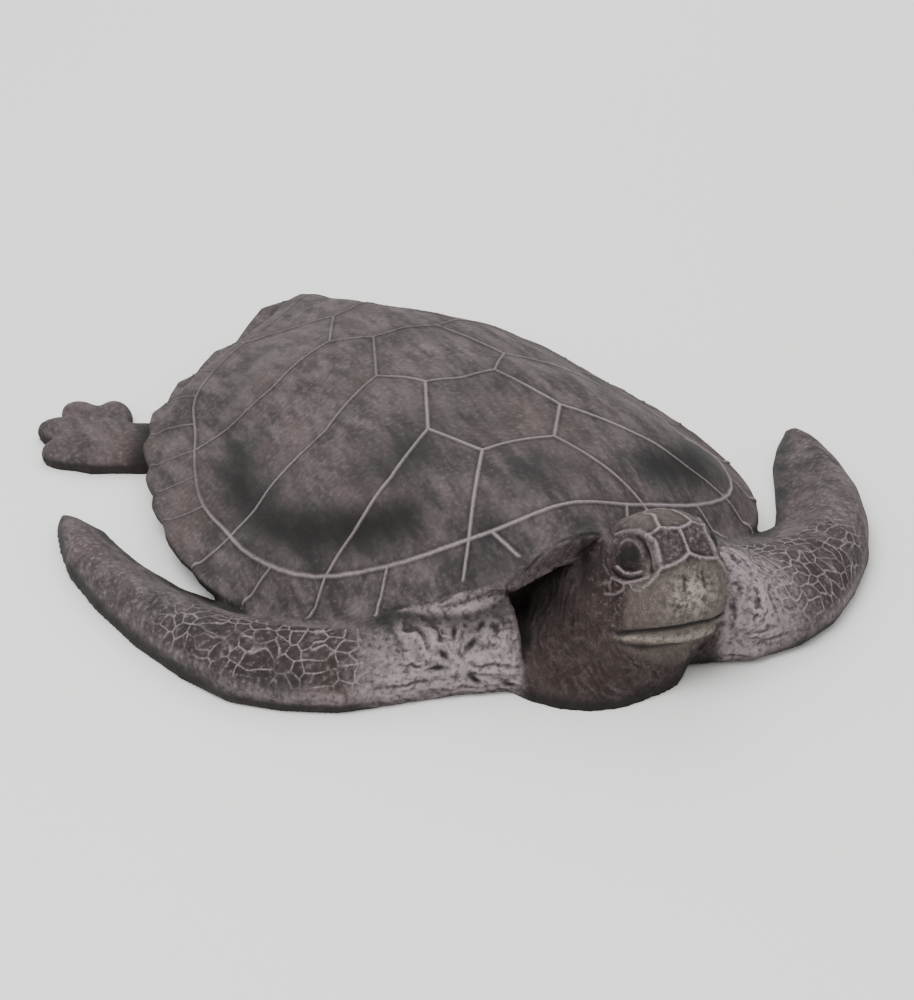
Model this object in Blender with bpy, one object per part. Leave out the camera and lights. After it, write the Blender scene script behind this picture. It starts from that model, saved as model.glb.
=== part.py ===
"""Garden statue of a sea turtle, cast in one piece and lying on its flat underside."""
import math

import bmesh
import bpy
from mathutils import Matrix, Vector

# sizes in metres
SHELL_LENGTH = 0.520
RIB_FOOT = 0.0022
RIB_HEIGHT = 0.0013
SHELL_EDGE = 0.0105
MERGE = 0.00008
SCUTE_MERGE = 0.0003
SHARP_DEGREES = 38.0

# the pose is laid out in steps of the shell's length, from a point under the dome
STEPS_IN_SHELL = 763
STEP = SHELL_LENGTH / STEPS_IN_SHELL
DOME_CENTRE = Vector((0.0, -20.0))
DOME_TOP = 168.0
UNDER_DOME = 90.0
BELOW_FLOOR = -14.0

# rim of the shell by degrees from the head: reach from the dome's centre, height
RIM = [
    (0, 333, 137), (15, 330, 99), (30, 323, 72), (45, 325, 48), (60, 310, 39), (75, 291, 36),
    (90, 279, 35), (105, 278, 34), (120, 289, 33), (135, 314, 36), (150, 337, 38), (165, 370, 41),
    (174, 396, 49), (180, 416, 60)]

# fall of the dome from its top to its rim, by share of the reach: front, side, rear
DOME_FALL = [
    (0.0, 1.0, 1.0, 1.0), (0.2, 1.04, 0.97, 0.95), (0.4, 1.0, 0.855, 0.84), (0.55, 0.93, 0.65, 0.67),
    (0.7, 0.81, 0.415, 0.46), (0.8, 0.66, 0.26, 0.32), (0.87, 0.48, 0.16, 0.24), (0.93, 0.25, 0.06, 0.14),
    (1.0, 0.0, 0.0, 0.0)]

# rounded edge of the shell, in shares of its thickness: outward, down
EDGE_PROFILE = [(0.14, -0.28), (0.14, -0.70), (-0.30, -1.0)]

# underside of the shell: share of the reach, share of the dome's rise there, depth below it
UNDERSIDE = (0.78, 0.45, 16.0)

# ring between the large scutes and the marginal ones, share of the reach by degrees
RING = [(0, 0.895), (15, 0.893), (30, 0.922), (45, 0.922), (60, 0.902), (75, 0.872), (90, 0.874),
        (105, 0.858), (120, 0.838), (135, 0.846), (150, 0.856), (165, 0.862), (180, 0.868)]

# seams of the marginal scutes: degrees at the ring, degrees at the rim, reach of the point behind it
MARGINAL_SEAMS = [
    (0, 0, 0), (13, 8, 0), (17, 19, 0), (31, 32, 0), (42, 43, 0), (54, 57, 0), (70, 74, 1),
    (88, 94, 2), (102, 107, 3), (113, 119, 4), (125, 131, 6), (137, 143, 7), (149, 155, 8),
    (162, 167, 9), (180, 180, 22)]
NUCHAL_SEAM = 1
LEAN_BACK = 1.6
SEAM_NOTCH = 0.35
SEAM_STEP = 32.0

# corners of the large scutes on the turtle's left half
CORNERS = {
    "first": (36, -215), "first out": (67, -160), "second": (36, -78), "second out": (67, -30),
    "third": (34, 62), "third out": (70, 90), "fourth": (33, 176), "fourth out": (52, 214)}
COSTAL_SEAMS = [
    ("first out", [(123, -207), (171, -233)], 42),
    ("second out", [(139, -80), (204, -92)], 70),
    ("third out", [(142, 66)], 113),
    ("fourth out", [(74, 262)], 162)]


def turned(degrees):
    """Unit vector on the plan, 0 towards the head and 90 towards the turtle's left."""
    angle = math.radians(degrees)
    return Vector((math.sin(angle), -math.cos(angle)))


def smooth(table, at):
    """Smooth curve through rows of place and value, level at its two ends."""
    last = len(table) - 1
    row = 0
    while row < last - 1 and at > table[row + 1][0]:
        row += 1
    x1, y1 = table[row]
    x2, y2 = table[row + 1]
    span = x2 - x1

    def slope(i):
        if i == 0 or i == last:
            return 0.0
        return (table[i + 1][1] - table[i - 1][1]) / (table[i + 1][0] - table[i - 1][0])

    s = min(max((at - x1) / span, 0.0), 1.0)
    rise = s * s * (3 - 2 * s)
    start = s * (1 - s) ** 2 * slope(row) * span
    end = s * s * (1 - s) * slope(row + 1) * span
    return y1 + (y2 - y1) * rise + start - end


def column(table, number):
    """Place and one value column of a table."""
    return [(row[0], row[number]) for row in table]


RIM_REACH = column(RIM, 1)
RIM_HEIGHT = column(RIM, 2)
FRONT_FALL = column(DOME_FALL, 1)
SIDE_FALL = column(DOME_FALL, 2)
REAR_FALL = column(DOME_FALL, 3)


def rim_height(degrees):
    """Height of the shell's rim."""
    return smooth(RIM_HEIGHT, abs(degrees))


def rim_point(degrees, point=0.0):
    """Plan position on the rim, moved outward by the reach of a marginal point."""
    return DOME_CENTRE + turned(degrees) * (smooth(RIM_REACH, abs(degrees)) + point)


def ring_point(degrees):
    """Plan position on the ring inside the marginal scutes."""
    share = smooth(RING, abs(degrees))
    return DOME_CENTRE + turned(degrees) * smooth(RIM_REACH, abs(degrees)) * share


def share_and_degrees(place):
    """Polar place of a plan point: share of the reach and degrees from the head."""
    away = place - DOME_CENTRE
    degrees = math.degrees(math.atan2(away.x, -away.y))
    return away.length / smooth(RIM_REACH, abs(degrees)), degrees


def ease(value):
    """Smooth step from 0 to 1."""
    value = min(max(value, 0.0), 1.0)
    return value * value * (3 - 2 * value)


def dome_height(place):
    """Height of the smooth shell above the floor."""
    share, degrees = share_and_degrees(place)
    share = min(share, 1.0)
    along = math.cos(math.radians(degrees))
    front = ease((along - 0.1) / 0.9)
    rear = ease(-along)
    fall = (front * smooth(FRONT_FALL, share) + rear * smooth(REAR_FALL, share)
            + (1 - front - rear) * smooth(SIDE_FALL, share))
    low = rim_height(degrees)
    return low + (DOME_TOP - low) * fall


def divided(points, step=SEAM_STEP):
    """Line through plan points, cut into stretches no longer than a step."""
    line = [Vector(points[0])]
    for end in points[1:]:
        start = line[-1]
        end = Vector(end)
        parts = max(1, math.ceil((end - start).length / step))
        for part in range(1, parts + 1):
            line.append(start.lerp(end, part / parts))
    return line


def marginal_arc(which, number):
    """Points of the ring (0) or the rim (1) along one marginal scute."""
    start = MARGINAL_SEAMS[number][which]
    end = MARGINAL_SEAMS[number + 1][which]
    before = MARGINAL_SEAMS[number][2]
    reach = MARGINAL_SEAMS[number + 1][2]
    parts = 2 if end - start < 6 else 3 if end - start < 14 else 4
    points = []
    for part in range(parts + 1):
        share = part / parts
        degrees = start + (end - start) * share
        if which == 0:
            points.append(ring_point(degrees))
        elif 0 < part < parts:
            points.append(rim_point(degrees, reach * math.sin(math.pi * share ** LEAN_BACK)))
        else:
            points.append(rim_point(degrees, -SEAM_NOTCH * (reach if part else before)))
    return points


def ring_between(start, end):
    """Points of the ring between two marginal seams given by their degrees at the ring."""
    points = []
    for number in range(len(MARGINAL_SEAMS) - 1):
        if MARGINAL_SEAMS[number][0] >= start and MARGINAL_SEAMS[number + 1][0] <= end:
            arc = marginal_arc(0, number)
            points.extend(arc if not points else arc[1:])
    return points


def half_scutes():
    """Left halves of the middle scutes, and whole outlines of the scutes on the left."""
    corner = {name: Vector(place) for name, place in CORNERS.items()}
    names = list(corner)
    seams = [divided([corner[name]] + via + [ring_point(end)]) for name, via, end in COSTAL_SEAMS]
    ends = [end for name, via, end in COSTAL_SEAMS]
    vertebral_front = MARGINAL_SEAMS[2][0]

    middle = [ring_between(0, vertebral_front) + divided([ring_point(vertebral_front), corner["first"]])[1:]
              + divided([corner["first"], (0, corner["first"].y)])[1:]]
    for number in (0, 2, 4):
        start = corner[names[number]]
        out = corner[names[number + 1]]
        end = corner[names[number + 2]]
        middle.append(divided([(0, start.y), start, out, end, (0, end.y)]))
    last = corner["fourth"]
    middle.append(divided([(0, last.y), last, corner["fourth out"]]) + seams[3][1:]
                  + ring_between(ends[3], 180)[1:])

    sides = []
    front_edge = divided([ring_point(vertebral_front), corner["first"], corner["first out"]])
    sides.append(front_edge + seams[0][1:] + ring_between(vertebral_front, ends[0])[::-1][1:-1])
    for number in (0, 1, 2):
        start = corner[names[2 * number + 1]]
        inner = corner[names[2 * number + 2]]
        out = corner[names[2 * number + 3]]
        edge = divided([start, inner, out])
        arc = ring_between(ends[number], ends[number + 1])
        sides.append(edge + seams[number + 1][1:] + arc[::-1][1:] + seams[number][::-1][1:-1])

    for number in range(len(MARGINAL_SEAMS) - 1):
        inside = marginal_arc(0, number)
        outside = marginal_arc(1, number)
        across = divided([inside[-1], outside[-1]])
        back = divided([outside[0], inside[0]])
        if number < NUCHAL_SEAM:
            middle.append(inside + across[1:] + outside[::-1][1:])
        else:
            sides.append(inside + across[1:] + outside[::-1][1:] + back[1:-1])
    return middle, sides


def mirrored(points):
    """The same plan points on the other half."""
    return [Vector((-point.x, point.y)) for point in points]


def facing_up(points):
    """The outline turned so that its face looks up."""
    area = 0.0
    for first, second in zip(points, points[1:] + points[:1]):
        area += first.x * second.y - second.x * first.y
    return points if area > 0 else points[::-1]


def shell_top(bm):
    """Scutes of the shell's upper side, laid out flat, framed by raised ribs and lifted to the dome."""
    rise = bm.verts.layers.float.new("rise")
    middle, sides = half_scutes()
    outlines = [half + mirrored(half)[::-1][1:-1] for half in middle]
    outlines += sides + [mirrored(side) for side in sides]
    for outline in outlines:
        bm.faces.new([bm.verts.new((point * STEP).to_3d()) for point in facing_up(outline)])
    bmesh.ops.remove_doubles(bm, verts=bm.verts[:], dist=SCUTE_MERGE)
    crests = [v for v in bm.verts if len(v.link_faces) > 1]
    faces = bm.faces[:]
    bmesh.ops.inset_individual(bm, faces=faces, thickness=RIB_FOOT, use_even_offset=True)
    for vert in crests:
        vert[rise] = RIB_HEIGHT
    centres = bmesh.ops.poke(bm, faces=faces, center_mode="MEAN_WEIGHTED")["verts"]
    spokes = [edge for vert in centres for edge in vert.link_edges]
    bmesh.ops.subdivide_edges(bm, edges=spokes, cuts=1, use_grid_fill=True)
    for vert in bm.verts:
        vert.co.z = dome_height(vert.co.xy / STEP) * STEP + vert[rise]


def ordered_rim(bm):
    """Vertices of the open border, by angle round the dome's centre."""
    border = [v for v in bm.verts if v.is_boundary]
    return sorted(border, key=lambda v: share_and_degrees(Vector(v.co.xy) / STEP)[1])


def shell():
    """Domed shell with a rounded rim and a hollowed underside."""
    bm = bmesh.new()
    shell_top(bm)
    loop = ordered_rim(bm)
    outward = [(Vector(v.co.xy) - DOME_CENTRE * STEP).normalized() for v in loop]
    starts = [v.co.copy() for v in loop]
    for out, down in EDGE_PROFILE:
        ring = []
        for start, away in zip(starts, outward):
            place = start + Vector((away.x * out, away.y * out, down)) * SHELL_EDGE
            ring.append(bm.verts.new(place))
        join_loops(bm, loop, ring)
        loop = ring
    ring = []
    inward, rise, below = UNDERSIDE
    for start in starts:
        plan = Vector(start.xy) / STEP
        low = rim_height(share_and_degrees(plan)[1])
        inner = DOME_CENTRE + (plan - DOME_CENTRE) * inward
        height = low + rise * (dome_height(inner) - low) - below
        ring.append(bm.verts.new(Vector((inner.x, inner.y, height)) * STEP))
    join_loops(bm, loop, ring)
    tip = bm.verts.new(Vector((DOME_CENTRE.x, DOME_CENTRE.y, UNDER_DOME)) * STEP)
    for first, second in zip(ring, ring[1:] + ring[:1]):
        bm.faces.new((second, first, tip))
    return finished("shell", bm)


def join_loops(bm, first, second):
    """Quads between two closed loops of as many vertices."""
    count = len(first)
    for number in range(count):
        after = (number + 1) % count
        bm.faces.new((first[number], second[number], second[after], first[after]))


def finished(name, bm):
    """Object from a closed mesh, its faces turned outward."""
    bmesh.ops.recalc_face_normals(bm, faces=bm.faces[:])
    mesh = bpy.data.meshes.new(name)
    bm.to_mesh(mesh)
    bm.free()
    body = bpy.data.objects.new(name, mesh)
    bpy.context.scene.collection.objects.link(body)
    return body


def from_rings(name, rings, start_tip=None, end_tip=None):
    """Solid skinned over rings of points given in steps, closed by a fan at either end."""
    bm = bmesh.new()
    loops = [[bm.verts.new(point * STEP) for point in ring] for ring in rings]
    for first, second in zip(loops, loops[1:]):
        join_loops(bm, first, second)
    for loop, tip in ((loops[0], start_tip), (loops[-1], end_tip)):
        if tip is None:
            tip = sum((vert.co for vert in loop), Vector()) / len(loop) / STEP
        point = bm.verts.new(Vector(tip) * STEP)
        for first, second in zip(loop, loop[1:] + loop[:1]):
            bm.faces.new((first, second, point))
    return finished(name, bm)


def ellipsoid(name, centre, radii, around=20, up=12, frame=None):
    """Ellipsoid in steps, lying level or along the axes of a frame."""
    rings = []
    for level in range(1, up):
        tilt = math.pi * level / up - math.pi / 2
        ring = []
        for number in range(around):
            angle = 2 * math.pi * number / around
            ring.append(Vector((math.cos(angle) * math.cos(tilt) * radii[0],
                                math.sin(angle) * math.cos(tilt) * radii[1],
                                math.sin(tilt) * radii[2])))
        rings.append(ring)
    tips = [Vector((0, 0, -radii[2])), Vector((0, 0, radii[2]))]
    place = Matrix.Translation(Vector(centre)) @ (frame if frame else Matrix())
    rings = [[place @ point for point in ring] for ring in rings]
    return from_rings(name, rings, place @ tips[0], place @ tips[1])


# wall of the body: share of the shell's reach, depth below its rim; its top lies inside the shell
BODY_TOP_SHARE = 0.80
BODY_WALL = [(0.85, 22.0), (0.865, 30.0)]
BODY_FOOT_SHARE = 0.85
BODY_TIP = 120.0


def body():
    """Body below the shell: wall down to the floor, its top inside the shell."""
    around = 40
    rings = [[] for level in range(len(BODY_WALL) + 2)]
    for number in range(around):
        degrees = 360 * number / around - 180
        outward = turned(degrees) * smooth(RIM_REACH, abs(degrees))
        low = rim_height(degrees)
        place = DOME_CENTRE + outward * BODY_TOP_SHARE
        rings[0].append(Vector((place.x, place.y, (low + dome_height(place)) / 2 - 2)))
        for ring, (share, below) in zip(rings[1:], BODY_WALL):
            place = DOME_CENTRE + outward * share
            ring.append(Vector((place.x, place.y, low - below)))
        place = DOME_CENTRE + outward * BODY_FOOT_SHARE
        rings[-1].append(Vector((place.x, place.y, BELOW_FLOOR)))
    return from_rings("body", rings, Vector((DOME_CENTRE.x, DOME_CENTRE.y, BODY_TIP)))


# fore flippers: outer plan point, inner plan point, height of the leading roll, thickness behind it
RIGHT_FORE = [
    ((-64, -382), (-62, -250), 94, 0.95), ((-90, -374), (-94, -240), 83, 0.95),
    ((-118, -366), (-126, -228), 75, 0.95), ((-172, -360), (-178, -210), 65, 0.9),
    ((-228, -354), (-210, -196), 59, 0.7), ((-276, -330), (-234, -180), 57, 0.46),
    ((-315, -297), (-253, -156), 55, 0.38), ((-342, -240), (-270, -130), 51, 0.36),
    ((-363, -167), (-290, -91), 46, 0.34), ((-376, -86), (-308, -41), 41, 0.36),
    ((-380, -20), (-317, 7), 35, 0.4), ((-374, 32), (-321, 46), 29, 0.42), ((-366, 68), (-335, 72), 22, 0.5)]
RIGHT_TIP = (-352, 98, 9)
LEFT_FORE = [
    ((72, -396), (70, -250), 106, 0.9), ((110, -406), (104, -248), 100, 0.9),
    ((150, -416), (140, -236), 88, 0.9), ((206, -407), (184, -216), 69, 0.72),
    ((249, -384), (224, -206), 60, 0.5), ((294, -342), (256, -212), 57, 0.4),
    ((333, -296), (278, -202), 54, 0.36), ((363, -244), (297, -170), 50, 0.36),
    ((387, -184), (318, -128), 44, 0.36), ((400, -124), (342, -80), 38, 0.38),
    ((406, -68), (368, -42), 31, 0.42), ((404, -32), (386, -22), 24, 0.5)]
LEFT_TIP = (396, -8, 10)

# section of a fore flipper: width over which it thins behind the leading roll, height of its widest
# point at the leading and the trailing edge, roundness of its upper side
THINS_FROM = 0.24
THINS_OVER = 0.8
LEADING_BRINK = 0.15
TRAILING_BRINK = 0.60
FORE_ROUND = 0.75


def fore_flipper(name, stations, tip):
    """Flipper with a rounded leading edge on the floor and a thinner trailing edge."""
    rings = []
    around = 18
    for outer, inner, height, behind in stations:
        outer = Vector(outer)
        inner = Vector(inner)
        ring = []
        for number in range(around):
            angle = 2 * math.pi * (number + 0.5) / around
            across = 0.5 - 0.5 * math.cos(angle)
            up = math.sin(angle)
            place = outer.lerp(inner, across)
            swell = 1 - (1 - behind) * ease((across - THINS_FROM) / THINS_OVER)
            brink = height * swell * (LEADING_BRINK + (TRAILING_BRINK - LEADING_BRINK) * across)
            if up > 0:
                z = brink + (height * swell - brink) * up ** FORE_ROUND
            else:
                z = brink * (1 + up) + BELOW_FLOOR * -up
            ring.append(Vector((place.x, place.y, z)))
        rings.append(ring)
    return from_rings(name, rings, None, Vector(tip))


# rear flippers: centre, half width, top height along the leg; then the toes
RIGHT_REAR = [
    ((-176, 172), 46, 28), ((-215, 192), 44, 27), ((-248, 208), 45, 27), ((-274, 223), 51, 29),
    ((-290, 236), 48, 26)]
RIGHT_REAR_END = (-300, 246, 8)
RIGHT_TOES = [
    ((-240, 282), (21, 36), 12, 24), ((-270, 286), (22, 42), -14, 28), ((-296, 262), (23, 40), -40, 27),
    ((-300, 220), (30, 40), -68, 26)]
LEFT_REAR = [
    ((118, 200), 42, 28), ((112, 246), 38, 27), ((106, 280), 38, 27), ((100, 304), 42, 28),
    ((96, 318), 38, 25)]
LEFT_REAR_END = (92, 332, 8)
LEFT_TOES = [
    ((136, 300), (20, 34), 24, 24), ((114, 330), (21, 36), 12, 27), ((86, 346), (22, 36), -4, 26),
    ((62, 330), (24, 36), -22, 25)]
TAIL = ((-6, 356, 12), (20, 62, 15))
REAR_BRINK = 0.3


def rear_flipper(stations, end, toes):
    """Fan of a leg spread on the floor, with its toes as lobes."""
    rings = []
    around = 18
    heading = (Vector(stations[-1][0]) - Vector(stations[0][0])).normalized()
    across = Vector((heading.y, -heading.x))
    for centre, half, height in stations:
        ring = []
        for number in range(around):
            angle = 2 * math.pi * (number + 0.5) / around
            up = math.sin(angle)
            place = Vector(centre) + across * half * math.cos(angle)
            if up > 0:
                z = height * (REAR_BRINK + (1 - REAR_BRINK) * up ** 0.7)
            else:
                z = REAR_BRINK * height * (1 + up) + BELOW_FLOOR * -up
            ring.append(Vector((place.x, place.y, z)))
        rings.append(ring)
    parts = [from_rings("rear leg", rings, None, Vector(end))]
    for centre, radii, degrees, height in toes:
        turn = Matrix.Rotation(math.radians(-degrees), 4, "Z")
        middle = Vector((centre[0], centre[1], height * REAR_BRINK))
        radii = (radii[0], radii[1], height * (1 - REAR_BRINK))
        parts.append(ellipsoid("toe", middle, radii, 12, 6, turn))
    return parts


# chest as a low swell on the floor; neck and throat by centre on the plan, half width, height
CHEST = ((6, -332, 6), (90, 104, 52))
NECK = [
    ((4, -236), 70, 84), ((13, -282), 60, 96), ((26, -318), 49, 110), ((38, -348), 56, 124),
    ((48, -374), 58, 122), ((53, -396), 50, 102), ((52, -411), 40, 82), ((48, -422), 28, 58)]
THROAT_TIP = (44, -431, 20)
NECK_ACROSS = Vector((0.97, 0.24))
NECK_WAIST = 0.42


def neck():
    """Thick neck and throat bending to the turtle's left, standing on the floor."""
    rings = []
    around = 20
    for centre, half, top in NECK:
        ring = []
        for number in range(around):
            angle = 2 * math.pi * (number + 0.5) / around
            up = math.sin(angle)
            spread = math.copysign(abs(math.cos(angle)) ** 0.8, math.cos(angle))
            place = Vector(centre) + NECK_ACROSS * half * spread
            waist = NECK_WAIST * top
            if up > 0:
                z = waist + (top - waist) * up ** 0.85
            else:
                z = waist + (waist - BELOW_FLOOR) * up
            ring.append(Vector((place.x, place.y, z)))
        rings.append(ring)
    return from_rings("neck", rings, None, Vector(THROAT_TIP))


# rolled edge of skin under the front of the shell: degrees, share of the reach, depth below the rim,
# radius
COLLAR = [(-26, 0.90, 18, 8), (-18, 0.945, 15, 9), (-10, 0.96, 15, 9), (-2, 0.96, 15, 9),
          (8, 0.96, 15, 9), (17, 0.945, 15, 9), (26, 0.90, 18, 8)]


def collar():
    """Rolled edge of skin where the neck leaves the shell."""
    rings = []
    around = 8
    for degrees, share, below, radius in COLLAR:
        place = DOME_CENTRE + turned(degrees) * smooth(RIM_REACH, abs(degrees)) * share
        centre = Vector((place.x, place.y, rim_height(degrees) - below))
        outward = turned(degrees).to_3d()
        ring = []
        for number in range(around):
            angle = 2 * math.pi * number / around
            ring.append(centre + (outward * math.cos(angle) + Vector((0, 0, math.sin(angle)))) * radius)
        rings.append(ring)
    return from_rings("collar", rings)


# head in its own frame: middle between the ears, turned and leaning
HEAD_CENTRE = Vector((64, -390, 100))
HEAD_TURN = 8.0
HEAD_LEAN = -6.0
SKULL = [
    (-78, 33, 10, -40), (-55, 43, 34, -48), (-30, 52, 52, -54), (-8, 56, 58, -54), (10, 54, 55, -50),
    (24, 50, 44, -43), (35, 45, 32, -35), (43, 38, 18, -29), (49, 28, 3, -24), (52, 16, -7, -21)]
SKULL_TIP = (53, -14)
SKULL_WIDEST = -12.0
SKULL_POWERS = (0.82, 0.42)
JAW = [
    (-55, 42, -40, -66), (-30, 49, -48, -72), (0, 50, -48, -68), (20, 46, -43, -61), (32, 40, -35, -54),
    (41, 31, -28, -47), (47, 18, -24, -43)]
JAW_POWERS = (0.5, 0.8)
EYE_PLACE = (7, 44, 26)
EYE_FACING = (0.28, 0.82, 0.50)
EYE_BALL = (16, 14, 9)
EYE_HOLLOW = (24, 20, 10)
EYE_DEPTH = 4.0
EYE_SHIFT = (-4, 3)
LID_HOOP = (24, 20)
LID_HALF_WIDTH = 3.6


def head_frame():
    """Frame with its x forward out of the mouth, y to the turtle's left and z up."""
    turn = Matrix.Rotation(math.radians(HEAD_TURN - 90), 4, "Z")
    lean = Matrix.Rotation(math.radians(HEAD_LEAN), 4, "X")
    return Matrix.Translation(HEAD_CENTRE) @ turn @ lean


def oval(half, top, bottom, middle, powers, around):
    """Closed section across the head as pairs of sideways and up; lower powers make it squarer."""
    points = []
    for number in range(around):
        angle = 2 * math.pi * (number + 0.5) / around
        c = math.cos(angle)
        s = math.sin(angle)
        power = powers[0] if s > 0 else powers[1]
        side = half * math.copysign(abs(c) ** power, c)
        reach = top - middle if s > 0 else middle - bottom
        points.append((side, middle + reach * math.copysign(abs(s) ** power, s)))
    return points


def head():
    """Skull with its blunt beak over a narrower lower jaw."""
    frame = head_frame()
    rings = []
    for along, half, top, bottom in SKULL:
        section = oval(half, top, bottom, min(SKULL_WIDEST, top - 8), SKULL_POWERS, 24)
        rings.append([frame @ Vector((along, side, up)) for side, up in section])
    tip = frame @ Vector((SKULL_TIP[0], 0, SKULL_TIP[1]))
    parts = [from_rings("skull", rings, None, tip)]
    rings = []
    for along, half, top, bottom in JAW:
        section = oval(half, top, bottom, (top + bottom) / 2, JAW_POWERS, 18)
        rings.append([frame @ Vector((along, side, up)) for side, up in section])
    parts.append(from_rings("jaw", rings))
    return parts


def eye_frame(side):
    """Frame on the head's surface: x forward, y up along the cheek, z out of the eye."""
    outward = Vector((EYE_FACING[0], EYE_FACING[1] * side, EYE_FACING[2])).normalized()
    forward = (Vector((1, 0, 0)) - outward * outward.x).normalized()
    upward = outward.cross(forward) if side < 0 else forward.cross(outward)
    axes = Matrix((forward, upward * (1 if upward.z > 0 else -1), outward)).transposed().to_4x4()
    place = Vector((EYE_PLACE[0], EYE_PLACE[1] * side, EYE_PLACE[2]))
    return head_frame() @ Matrix.Translation(place) @ axes


def hoop(name, frame, radii, tube, around=18, section=6):
    """Closed oval ring of round section."""
    bm = bmesh.new()
    loops = []
    for number in range(around):
        angle = 2 * math.pi * number / around
        loop = []
        for corner in range(section):
            turn = 2 * math.pi * corner / section
            out = 1 + tube * math.cos(turn) / radii[0]
            point = Vector((radii[0] * out * math.cos(angle), radii[1] * out * math.sin(angle),
                            tube * math.sin(turn)))
            loop.append(bm.verts.new((frame @ point) * STEP))
        loops.append(loop)
    for first, second in zip(loops, loops[1:] + loops[:1]):
        join_loops(bm, first, second)
    return finished(name, bm)


def tidied(mesh):
    """Merge the points a cut leaves on top of each other and keep the faces as triangles."""
    bm = bmesh.new()
    bm.from_mesh(mesh)
    bmesh.ops.remove_doubles(bm, verts=bm.verts[:], dist=MERGE)
    bmesh.ops.dissolve_degenerate(bm, dist=MERGE, edges=bm.edges[:])
    bmesh.ops.triangulate(bm, faces=bm.faces[:])
    bmesh.ops.recalc_face_normals(bm, faces=bm.faces[:])
    bm.to_mesh(mesh)
    bm.free()


def combine(target, others, operation):
    """Apply one exact Boolean per solid and remove the solids used up."""
    for other in others:
        modifier = target.modifiers.new("join", "BOOLEAN")
        modifier.operation = operation
        modifier.solver = "EXACT"
        modifier.object = other
        graph = bpy.context.evaluated_depsgraph_get()
        result = bpy.data.meshes.new_from_object(target.evaluated_get(graph))
        target.modifiers.clear()
        old = target.data
        target.data = result
        tidied(result)
        bpy.data.meshes.remove(old)
        bpy.data.objects.remove(other)


def filled_inside(target):
    """Fill the pockets closed off inside the casting: keep the outer surface alone."""
    bm = bmesh.new()
    bm.from_mesh(target.data)
    loose = set(bm.verts)
    skins = []
    while loose:
        skin = set()
        edge = {loose.pop()}
        while edge:
            skin |= edge
            edge = {end.other_vert(vert) for vert in edge for end in vert.link_edges} - skin
        loose -= skin
        skins.append(skin)
    skins.sort(key=len)
    for skin in skins[:-1]:
        bmesh.ops.delete(bm, geom=list(skin), context="VERTS")
    bm.to_mesh(target.data)
    bm.free()


def cut_level(target):
    """Cut everything below the floor away and close the underside flat."""
    bm = bmesh.new()
    bm.from_mesh(target.data)
    geometry = bm.verts[:] + bm.edges[:] + bm.faces[:]
    cut = bmesh.ops.bisect_plane(bm, geom=geometry, plane_co=(0, 0, 0), plane_no=(0, 0, 1),
                                 clear_inner=True, dist=STEP * 0.01)
    rim = [item for item in cut["geom_cut"] if isinstance(item, bmesh.types.BMEdge)]
    filled = bmesh.ops.triangle_fill(bm, edges=rim, use_beauty=True)
    for item in filled["geom"]:
        if isinstance(item, bmesh.types.BMFace):
            item.smooth = False
    bm.to_mesh(target.data)
    bm.free()
    tidied(target.data)


def centred(target):
    """Put the middle of the bounding box over the origin and the lowest point at height zero."""
    places = [vert.co for vert in target.data.vertices]
    low = Vector([min(place[axis] for place in places) for axis in range(3)])
    high = Vector([max(place[axis] for place in places) for axis in range(3)])
    target.data.transform(Matrix.Translation((-(low.x + high.x) / 2, -(low.y + high.y) / 2, -low.z)))


def cast_stone():
    """Plain stand-in for the grey-brown cast stone."""
    material = bpy.data.materials.new("cast stone")
    material.use_nodes = True
    shader = material.node_tree.nodes["Principled BSDF"]
    shader.inputs["Base Color"].default_value = (0.19, 0.165, 0.155, 1.0)
    shader.inputs["Roughness"].default_value = 0.85
    return material


def main():
    """Build the statue as one closed solid."""
    for item in list(bpy.data.objects):
        bpy.data.objects.remove(item)
    statue = body()
    combine(statue, [fore_flipper("right fore flipper", RIGHT_FORE, RIGHT_TIP)], "UNION")
    combine(statue, [fore_flipper("left fore flipper", LEFT_FORE, LEFT_TIP)], "UNION")
    combine(statue, rear_flipper(RIGHT_REAR, RIGHT_REAR_END, RIGHT_TOES), "UNION")
    combine(statue, rear_flipper(LEFT_REAR, LEFT_REAR_END, LEFT_TOES), "UNION")
    combine(statue, [ellipsoid("tail", TAIL[0], TAIL[1], 14, 8), collar()], "UNION")
    combine(statue, [ellipsoid("chest", CHEST[0], CHEST[1], 20, 8)], "UNION")
    combine(statue, [neck()] + head(), "UNION")
    for side in (1, -1):
        frame = eye_frame(side)
        combine(statue, [ellipsoid("eye hollow", (0, 0, 0), EYE_HOLLOW, 14, 6, frame)], "DIFFERENCE")
        ball = ellipsoid("eyeball", (0, 0, 0), EYE_BALL, 14, 8,
                         frame @ Matrix.Translation((EYE_SHIFT[0], EYE_SHIFT[1], -EYE_DEPTH)))
        combine(statue, [hoop("lid", frame, LID_HOOP, LID_HALF_WIDTH), ball], "UNION")
    combine(statue, [shell()], "UNION")
    filled_inside(statue)
    cut_level(statue)
    centred(statue)
    statue.name = "sea_turtle"
    statue.data.name = "sea_turtle"
    statue.data.materials.clear()
    statue.data.materials.append(cast_stone())
    statue.data.shade_smooth()
    statue.data.set_sharp_from_angle(angle=math.radians(SHARP_DEGREES))


main()
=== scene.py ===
import math

import bpy
import numpy as np
from bpy.props import FloatProperty, FloatVectorProperty, IntProperty, PointerProperty
from mathutils import Matrix, Vector


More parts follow.
